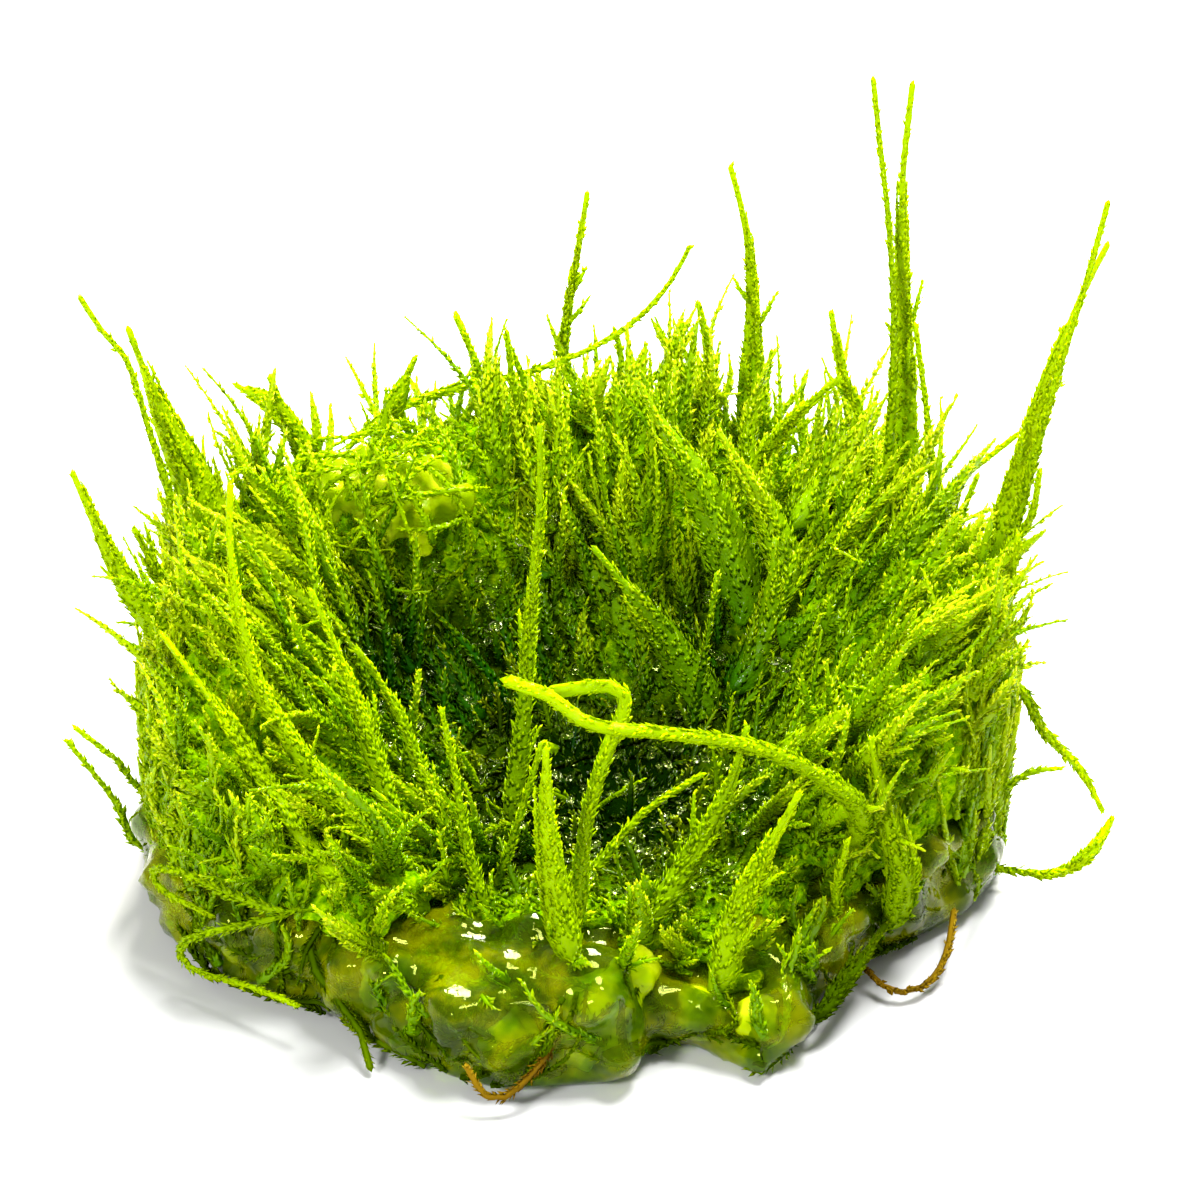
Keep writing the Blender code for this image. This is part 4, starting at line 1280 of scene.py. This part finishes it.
# %% Cover the heart with leaves
FUZZ_COVER, FUZZ_SINK = 4.0 / MM**2, 0.06 * MM
FUZZ_YAW, FUZZ_WANDER, FUZZ_SHADE = 0.5, 0.35, 0.1
FUZZ_FROM, FUZZ_SLANT, GROUND_FUZZ_SLANT = 5.0 * MM, -0.2, 0.1


def add_fuzz(gathered_at, thing, chosen, rng, lean=38.0):
    """Single leaves on the chosen triangles of a mesh."""
    corners, normals, areas = surface_of(thing.data)
    use = np.array([chosen(c, n) for c, n in zip(corners.mean(axis=1), normals)])
    count = int(areas[use].sum() * FUZZ_COVER)
    places, ways = draw_points(corners[use], normals[use], areas[use], count, rng)
    for gathered, part in gathered_at(places).items():
        growth = np.array([growth_direction(p, level_of(p)) for p in places[part]])
        headings = growth + rng.normal(0, FUZZ_WANDER, (len(part), 3))
        away = ways[part]
        headings = unit(headings - away * np.sum(headings * away, axis=1, keepdims=True))
        roots = places[part] - away * FUZZ_SINK
        verts, faces = set_leaves(roots, headings, away, lean, FUZZ_YAW, 1.0, rng)
        tones = np.repeat(rng.uniform(0, 1, len(part)), len(LEAF_POINTS))
        gathered.add(verts, faces, FUZZ_SHADE + np.tile(LEAF_SHADE, len(part)), tones)
    print("leaves on", thing.name + ":", len(places))


def by_sector(places):
    """Which places belong to which piece of the mat."""
    names = np.array([sector_of(p) for p in places])
    return {gathered_of[name]: np.nonzero(names == name)[0] for name in SECTORS if np.any(names == name)}


add_fuzz(by_sector, core, lambda c, n: c[2] > FUZZ_FROM and n[2] > FUZZ_SLANT, rng)
for name, gathered in gathered_of.items():
    make_piece(name, gathered, old_leaf)

# %% [markdown]
# ## The ground of the hollow
# The jelly's top carries a skin of wet old moss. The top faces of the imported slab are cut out,
# given a thickness, and roughened with a fine cloud pattern. Near the front edge the skin ends
# and the jelly comes out from under it.

# %% The skin on the jelly
# The skin reaches to these levels, the second one from this bearing on, where it faces up
GROUND_LEVEL, FRONT_LEVEL, FRONT_FROM, GROUND_SLANT = 0.64, 0.66, 235, 0.3
GROUND_THICKNESS = 1.1 * MM
GROUND_FACES, GROUND_CLOUDS, GROUND_PUSH = 0.5 * MM, 1.6 * MM, 1.6 * MM

ground = copy_of_node("jelly_slab", "moss_ground")
bpy.ops.object.mode_set(mode="EDIT")
bpy.ops.mesh.select_mode(type="FACE")
shape = bmesh.from_edit_mesh(ground.data)
for face in shape.faces:
    centre = np.array(face.calc_center_median())
    limit = GROUND_LEVEL if bearing_of(centre) < FRONT_FROM else FRONT_LEVEL
    face.select = not (face.normal.z > GROUND_SLANT and level_of(centre) < limit)
bmesh.update_edit_mesh(ground.data)
bpy.ops.mesh.delete(type="FACE")
bpy.ops.mesh.select_all(action="SELECT")
bpy.ops.mesh.subdivide(number_cuts=3)
bpy.ops.mesh.select_mode(type="VERT")
bpy.ops.object.mode_set(mode="OBJECT")
apply_modifier(ground, "SOLIDIFY", thickness=GROUND_THICKNESS, offset=0.2)
even_skin(ground, GROUND_FACES)
displace(ground, clouds("wet_growth", GROUND_CLOUDS), GROUND_PUSH, 0.5)
bpy.ops.object.shade_smooth()
add_painted_shade(ground)
finish_piece(ground, heart)

# %% [markdown]
# ## The hollow and the front
# The hollow's floor is wet and nearly black, with painted shade on it: short feathery sprigs that
# point every way. In front of it a low carpet covers the jelly almost up to its edge, with short
# tufts in it, and wet strands climb the jelly's wall all round. About one sprig in eight of the
# dark floor is young and feathery and stands up into the light, so it takes on less painted shade.

# %% Grow the carpet
CARPET_TRIES, CARPET_APART, CARPET_SLANT = 14000, 1.0 * MM, 0.45
PAINTED_SHADE_ABOVE = 0.45
# On the dark floor: the share of roots with a sprig, and the share of the others with a lit one
DARK_SHARE, LIT_SHARE = 0.42, 0.10
# In front: the share of roots with a sprig, by level, of sprigs with two rows of leaves, and of
# sprigs with a tuft beside them
FRONT_AT_LEVEL = ([0.4, 0.62, 0.75, 0.95], [0.75, 0.7, 0.2, 0.06])
TWO_ROWS, WITH_TUFT = 0.4, 0.13
# Lengths in mm, and how far sprigs stray
DARK_SPRIGS, LIT_SPRIGS, FRONT_SPRIGS = (2.8, 6.5), (4.5, 7.5), (1.8, 4.8)
DARK_STRAY, LIT_STRAY, FRONT_STRAY = 0.75, 0.6, 0.7
FRONT_TUFTS, FRONT_HALVES = (4.0, 7.0), (0.6, 1.1)
TUFT_TAPER = np.array((0.9, 1.0, 0.9, 0.6, 0.25))


def under_mat(place):
    """Whether the mat lies straight above a place."""
    return mat_tree.ray_cast(Vector(place), Vector((0, 0, 1)))[0] is not None


covered = np.array([under_mat(c) for c in jelly_corners.mean(axis=1)])
bare_top = (jelly_normals[:, 2] > CARPET_SLANT) & ~covered
carpet_roots = spread_points(jelly_surface, bare_top, CARPET_TRIES, CARPET_APART, rng)
moss_hollow, moss_front, lit_sprigs = Gathered(), Gathered(), Gathered()
for place, normal in zip(*carpet_roots):
    if under_mat(place):
        continue
    dark = painted_shade_in_hollow(place[None])[0] > PAINTED_SHADE_ABOVE
    rows = 2 if rng.uniform() < TWO_ROWS else 0
    if dark:
        if rng.uniform() < DARK_SHARE:
            length = rng.uniform(*DARK_SPRIGS) * MM
            grow_sprig(moss_hollow, place, normal, rng, length, DARK_STRAY, rows=2, lean=48.0)
        elif rng.uniform() < LIT_SHARE:
            length = rng.uniform(*LIT_SPRIGS) * MM
            grow_sprig(lit_sprigs, place, normal, rng, length, LIT_STRAY, 2, 46.0, tones=(0.1, 0.8))
    elif rng.uniform() < np.interp(level_of(place), *FRONT_AT_LEVEL):
        length = rng.uniform(*FRONT_SPRIGS) * MM
        grow_sprig(moss_front, place, normal, rng, length, FRONT_STRAY, rows, 42.0, tones=(0.0, 0.6))
        if rng.uniform() < WITH_TUFT:
            direction = unit(growth_direction(place, level_of(place)) + UP * 0.4 + rng.normal(0, 0.3, 3))
            line = place - normal * ROOT_DEPTH + direction * rng.uniform(*FRONT_TUFTS) * MM * shares(8)
            halves = rng.uniform(*FRONT_HALVES) * MM * TUFT_TAPER
            add_tuft(moss_front, line, halves, rng, rng.uniform(0, 0.7), flat=0.6)


# Wet strands climb out of the jelly's wall and end above its edge. The lobes at the front
# stay nearly bare
WALL_STRANDS, STRANDS_FROM, STRAND_LENGTHS = 130, (1.6, 5.0), (2.5, 5.5)
FRONT_SIDE, OTHER_SIDES, AT_FRONT = (-172, -8), (-8, 188), 0.55
BARE_FRONT, SPARED = (-165, -58), 0.75
for _ in range(WALL_STRANDS):
    angle = math.radians(rng.uniform(*(FRONT_SIDE if rng.uniform() < AT_FRONT else OTHER_SIDES)))
    height = rng.uniform(*STRANDS_FROM) * MM
    wall = wall_at(angle, height, (jelly_tree,))
    spared = BARE_FRONT[0] < math.degrees(angle) < BARE_FRONT[1] and rng.uniform() < SPARED
    if wall is not None and not spared:
        length = rng.uniform(*STRAND_LENGTHS) * MM
        grow_strand(moss_front, wall, rng, length, rng.uniform(0.0, 0.4), free=0.3)


def by_darkness(places):
    """Which places belong to the dark hollow and which to the front."""
    dark = painted_shade_in_hollow(places) > PAINTED_SHADE_ABOVE
    return {moss_hollow: np.nonzero(dark)[0], moss_front: np.nonzero(~dark)[0]}


add_fuzz(by_darkness, ground, lambda c, n: n[2] > GROUND_FUZZ_SLANT, rng, lean=45.0)
make_piece("moss_hollow", moss_hollow, wet_shaded_leaf)
make_piece("moss_front", moss_front, old_leaf)
# The lit sprigs take on about a third of the hollow's painted shade
make_piece("lit_sprigs", lit_sprigs, young_leaf, shade=0.35)

# %% [markdown]
# ## The jelly
# The slab was cut and handled, so its wall is crushed into lobes with creases between them,
# while it lies flat on the table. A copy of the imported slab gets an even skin, and two patterns
# of rounded cells, one 5.5 mm wide and one 2.4 mm, push it in and out. A vertex group holds the
# underside, and mostly also the places under the moss floor of the hollow.

# %% Shape the jelly
JELLY_FACES = 0.65 * MM
BROAD_CELLS, BROAD_PUSH = 5.5 * MM, -3.6 * MM
FINE_CELLS, FINE_PUSH = 2.4 * MM, -1.4 * MM
# The wall is free to move above this height, and wholly so this much higher up
HELD_BELOW, FREE_RISE = 0.1 * MM, 2.5 * MM
UNDER_MOSS, FREE_UNDER_MOSS = GROUND_LEVEL + 0.04, 0.2
slab = copy_of_node("jelly_slab", "clear_jelly")
even_skin(slab, JELLY_FACES)
free = slab.vertex_groups.new(name="above_the_table")
for vert in slab.data.vertices:
    share = min(max((vert.co.z - HELD_BELOW) / FREE_RISE, 0.0), 1.0)
    if level_of(np.array(vert.co)) < UNDER_MOSS:
        share *= FREE_UNDER_MOSS
    free.add([vert.index], share, "REPLACE")
displace(slab, cells("broad_lumps", BROAD_CELLS), BROAD_PUSH, 0.5, free.name)
displace(slab, cells("fine_lumps", FINE_CELLS), FINE_PUSH, 0.5, free.name)
apply_modifier(slab, "SMOOTH", factor=0.4, iterations=1)
bpy.ops.object.shade_smooth()
finish_piece(slab, jelly, ["jelly_slab"])

# %% [markdown]
# ## Old growth inside the jelly
# The moss also grew down into the jelly, and there it has decayed to an olive cloud. In places
# it comes close to the wall and in others the jelly is clear for several millimetres. A copy
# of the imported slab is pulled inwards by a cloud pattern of 4 mm. At a few clear windows in the
# wall it stands back further, and it ends above the slab's clear foot.

# %% The olive cloud
MURK_LOWEST = 2.2 * MM
MURK_FACES, MURK_CLOUDS, MURK_PUSH = 1.1 * MM, 4.0 * MM, 11.0 * MM
# Places where the jelly is clear: bearing in degrees, height and reach in mm
CLEAR_WINDOWS = [
    (-86, 4.0, 6.0), (-78, 2.5, 5.0), (-66, 1.8, 5.0), (-102, 2.5, 4.5),
    (-124, 3.0, 4.5), (-140, 4.0, 6.0), (-156, 4.0, 5.0), (-30, 4.0, 5.0),
]
STAND_BACK = 7.0 * MM
murk = copy_of_node("jelly_slab", "old_moss_in_jelly")
even_skin(murk, MURK_FACES)
displace(murk, clouds("decay", MURK_CLOUDS), MURK_PUSH, 0.85)
apply_modifier(murk, "SMOOTH", factor=0.5, iterations=2)
for bearing, height, reach in CLEAR_WINDOWS:
    angle = math.radians(bearing)
    middle = Vector(wall_at(angle, height * MM, (jelly_tree,)))
    inwards = -Vector(outward_at(angle))
    for vert in murk.data.vertices:
        near = 1.0 - (vert.co - middle).length / (reach * MM)
        vert.co += inwards * STAND_BACK * max(near, 0.0) ** 0.7
for vert in murk.data.vertices:
    vert.co.z = max(vert.co.z, MURK_LOWEST)
bpy.ops.object.shade_smooth()
finish_piece(murk, decayed)

# %% [markdown]
# Near the wall one sees thin dark stems. Some hang straight down from the mat, others run
# level. Each starts somewhere inside the wall and wanders along it.

# %% Grow stems into the jelly
STEMS_IN_JELLY = 230
# Of the hanging stems and of the level ones: height in mm, turn in radians, and fall or rise in mm
HANG_FROM, HANG_TURN, HANG_FALL = (6.0, 9.0), 0.05, (3.5, 8.0)
LEVEL_FROM, LEVEL_TURN, LEVEL_RISE = (0.9, 6.0), 0.18, 1.6
# How deep the stems lie behind the wall, how far they wave and how thick they are, in mm
DROWNED_DEPTHS, DROWNED_WAVES, DROWNED_HALVES = (0.2, 1.6), (0.1, 0.6), (0.26, 0.40)
LOWEST_STEM, HIGHEST_STEM, WALL_NEAREST = 0.6 * MM, 9 * MM, 20 * MM
drowned = Gathered()
for number in range(STEMS_IN_JELLY):
    angle = rng.uniform(0, math.tau)
    hanging = number % 2 == 0
    height = rng.uniform(*(HANG_FROM if hanging else LEVEL_FROM)) * MM
    turn = rng.normal(0, HANG_TURN if hanging else LEVEL_TURN)
    rise = (-rng.uniform(*HANG_FALL) if hanging else rng.normal(0, LEVEL_RISE)) * MM
    depth = rng.uniform(*DROWNED_DEPTHS) * MM
    wave, phase = rng.uniform(*DROWNED_WAVES) * MM, rng.uniform(0, LAST_PHASE)
    path = []
    for share in np.linspace(0, 1, 9):
        turned = angle + turn * share
        wanders = height + rise * share + wave * math.sin(4 * share + phase)
        wall = wall_at(turned, min(max(wanders, LOWEST_STEM), HIGHEST_STEM), (jelly_tree,))
        if wall is None or np.linalg.norm(wall[:2]) < WALL_NEAREST:
            break
        path.append(wall - outward_at(turned) * (depth + wave * math.cos(3 * share + phase)))
    if len(path) > 3:
        drowned.add_stem(smooth_line(path, 24), rng, rng.uniform(0, 1),
                         half=rng.uniform(*DROWNED_HALVES) * MM, size=0.85, lean=44.0, rows=2)
make_piece("stems_in_jelly", drowned, drowned_leaf)

# %% [markdown]
# A few feathery stems also lie on the jelly's foot at the front. They follow its lobes like a
# dark line and climb a little at their ends.

# %% Lay stems on the jelly's foot
EDGE_STEMS, EDGE_BEARINGS = 20, (-165, -15)
EDGE_LOWEST, EDGE_WAVE = 0.45 * MM, 0.3 * MM
EDGE_TURNS, EDGE_FOOT, EDGE_CLIMB = (0.10, 0.28), (0.45, 1.4), (0.0, 5.0)
OFF_WALL, EDGE_HALVES = (0.15, 0.3), (0.28, 0.42)
edge = Gathered()
for _ in range(EDGE_STEMS):
    angle = math.radians(rng.uniform(*EDGE_BEARINGS))
    turn = rng.uniform(*EDGE_TURNS) * rng.choice((-1, 1))
    foot, climb = rng.uniform(*EDGE_FOOT) * MM, rng.uniform(*EDGE_CLIMB) * MM
    path = []
    for share in np.linspace(0, 1, 9):
        turned = angle + turn * share
        height = foot + climb * share**2 + EDGE_WAVE * math.sin(5 * share)
        wall = wall_at(turned, max(height, EDGE_LOWEST), (jelly_tree,))
        if wall is None:
            break
        path.append(wall + outward_at(turned) * rng.uniform(*OFF_WALL) * MM)
    if len(path) > 4:
        edge.add_stem(smooth_line(path, 24), rng, rng.uniform(0.2, 1),
                      half=rng.uniform(*EDGE_HALVES) * MM, size=0.9, lean=44.0, rows=2)
make_piece("stems_on_jelly", edge, drowned_leaf)

# %% [markdown]
# ## Lumps and crumbs of jelly
# Behind the rim on the left a heap of soft lumps of pale jelly sits in the moss.
# A few more lumps lie just behind the wall at the front and make its pale places. The lumps
# are balls, run together by a voxel remesh. Metaballs would run together too, but they swell
# where they meet.

# %% Model the lumps
LUMP_MIDDLE, LUMP_SPREAD = np.array((-14.0, 15.0, 21.2)), np.array((6.6, 3.7, 3.5))
LUMP_COUNT, LUMP_OUT, LUMP_RADII = 130, (0.3, 0.95), (0.55, 1.3)
LUMP_FACES, LUMP_DENTS, DENT_DEPTH = 0.4 * MM, 1.6 * MM, 1.1 * MM
# Clear lumps just behind the wall at the front: bearing in degrees, height and radius in mm
LUMPS_IN_WALL = [
    (-86, 4.2, 2.6), (-90, 2.8, 2.0), (-81, 6.2, 1.9), (-70, 2.6, 1.8), (-64, 3.0, 1.7),
    (-100, 3.2, 1.9), (-122, 3.6, 1.8), (-138, 4.0, 2.2), (-148, 3.4, 1.8),
]
BEHIND_WALL = 0.7
rng = np.random.default_rng(31)
all_lumps = []
for _ in range(LUMP_COUNT):
    away = unit(rng.normal(0, 1, 3)) * rng.uniform(*LUMP_OUT)
    all_lumps.append((LUMP_MIDDLE + away * LUMP_SPREAD, rng.uniform(*LUMP_RADII)))
for bearing, height, radius in LUMPS_IN_WALL:
    angle = math.radians(bearing)
    wall = wall_at(angle, height * MM, (jelly_tree,)) / MM
    all_lumps.append((wall - outward_at(angle) * (radius + BEHIND_WALL), radius))
bpy.ops.object.select_all(action="DESELECT")
balls = []
for place, radius in all_lumps:
    bpy.ops.mesh.primitive_ico_sphere_add(subdivisions=2, radius=radius * MM, location=place * MM)
    balls.append(bpy.context.active_object)
for ball in balls:
    ball.select_set(True)
bpy.context.view_layer.objects.active = balls[0]
bpy.ops.object.join()
lumps = bpy.context.active_object
lumps.name = "pale_jelly_lumps"
bpy.ops.object.transform_apply(location=True, rotation=True, scale=True)
even_skin(lumps, LUMP_FACES)
displace(lumps, clouds("lump_dents", LUMP_DENTS), DENT_DEPTH, 0.5)
apply_modifier(lumps, "SMOOTH", factor=0.4, iterations=1)
bpy.ops.object.shade_smooth()
finish_piece(lumps, pale_jelly)

# %% [markdown]
# Thin young stems run across the lumps this way and that. Each follows an arc close over the
# heap, from one side of it to another.

# %% Lay stems over the lumps
OVER_LUMPS, OVER_LIFT, OVER_WAVE, OVER_HALVES = 28, (1.3, 2.6), 0.8, (0.32, 0.40)
TOWARDS_FRONT = np.array((0.0, -1.0, 1.0))
over = Gathered()
for _ in range(OVER_LUMPS):
    start, end = (unit(rng.normal(0, 1, 3) + TOWARDS_FRONT) for _ in range(2))
    lift = rng.uniform(*OVER_LIFT)
    path = []
    for share in np.linspace(-0.15, 1.1, 9):
        way = unit(start * (1 - share) + end * share)
        path.append((LUMP_MIDDLE + way * (LUMP_SPREAD + lift + OVER_WAVE * math.sin(3 * share))) * MM)
    over.add_stem(path, rng, rng.uniform(0.4, 1.0), half=rng.uniform(*OVER_HALVES) * MM,
                  size=0.85, lean=34.0, cover=5.0 / MM**2)
make_piece("stems_over_lumps", over, young_leaf)

# %% [markdown]
# The floor of the hollow and the slope behind it are strewn with drops and crumbs that catch
# the light. A crumb is modelled once as a ball of 20 faces, flattened and copied. It lies nearly
# level, so that it throws the lamps' light to the front as a small white glint.

# %% Strew the crumbs
# How many crumbs, and how far off the moss they lie in mm, at least and at most
CRUMBS_BELOW, CRUMBS_ON_SLOPE = (420, 0.3, 2.6), (240, 0.6, 1.8)
CRUMB_RADIUS = (0.22 * MM, 0.55 * MM)
CRUMB_TILT = 0.35
# Crumbs lie on faces that look up this much and take at least this much of the hollow's painted shade
WET_SLANT, WET_DEPTH = 0.2, 0.3
# A crumb's length, width and height, as factors on its radius, at least and at most
CRUMB_LEAST, CRUMB_MOST = (0.9, 0.5, 0.25), (1.8, 1.0, 0.5)
bpy.ops.object.select_all(action="DESELECT")
bpy.ops.mesh.primitive_ico_sphere_add(subdivisions=1, radius=1.0, location=(0, 0, 0))
crumb = bpy.context.active_object
CRUMB_POINTS = np.array([vert.co[:] for vert in crumb.data.vertices])
CRUMB_FACES = np.array([polygon.vertices[:] for polygon in crumb.data.polygons])
bpy.data.objects.remove(crumb)

places = []
for thing, (count, low, high) in ((ground, CRUMBS_BELOW), (core, CRUMBS_ON_SLOPE)):
    corners, normals, areas = surface_of(thing.data)
    wet = (normals[:, 2] > WET_SLANT) & (painted_shade_in_hollow(corners.mean(axis=1)) > WET_DEPTH)
    found, outwards = draw_points(corners[wet], normals[wet], areas[wet], count, rng)
    places.append(found + outwards * rng.uniform(low, high, (count, 1)) * MM)
points, faces = [], []
for number, place in enumerate(np.vstack(places)):
    upright = unit(UP + rng.normal(0, CRUMB_TILT, 3))
    level_axis = unit(np.cross(upright, rng.normal(0, 1, 3)))
    axes = np.stack([level_axis, np.cross(upright, level_axis), upright])
    size = rng.uniform(*CRUMB_RADIUS) * rng.uniform(CRUMB_LEAST, CRUMB_MOST)
    points.append(place + (CRUMB_POINTS * size) @ axes)
    faces.append(CRUMB_FACES + number * len(CRUMB_POINTS))
mesh = bpy.data.meshes.new("jelly_crumbs")
mesh.from_pydata(np.vstack(points).tolist(), [], np.vstack(faces).tolist())
crumbs = bpy.data.objects.new("jelly_crumbs", mesh)
bpy.context.scene.collection.objects.link(crumbs)
bpy.context.view_layer.objects.active = crumbs
crumbs.select_set(True)
bpy.ops.object.shade_smooth()
finish_piece(crumbs, crumb_jelly)

# %% [markdown]
# ## Count the triangles and finish
# The triangles of all pieces are added up and printed, with the most in any one piece.

# %% Count the triangles and finish
bpy.ops.object.select_all(action="DESELECT")
bpy.context.view_layer.update()
print("triangles in all:", sum(triangle_count.values()), "most in one piece:", max(triangle_count.values()))
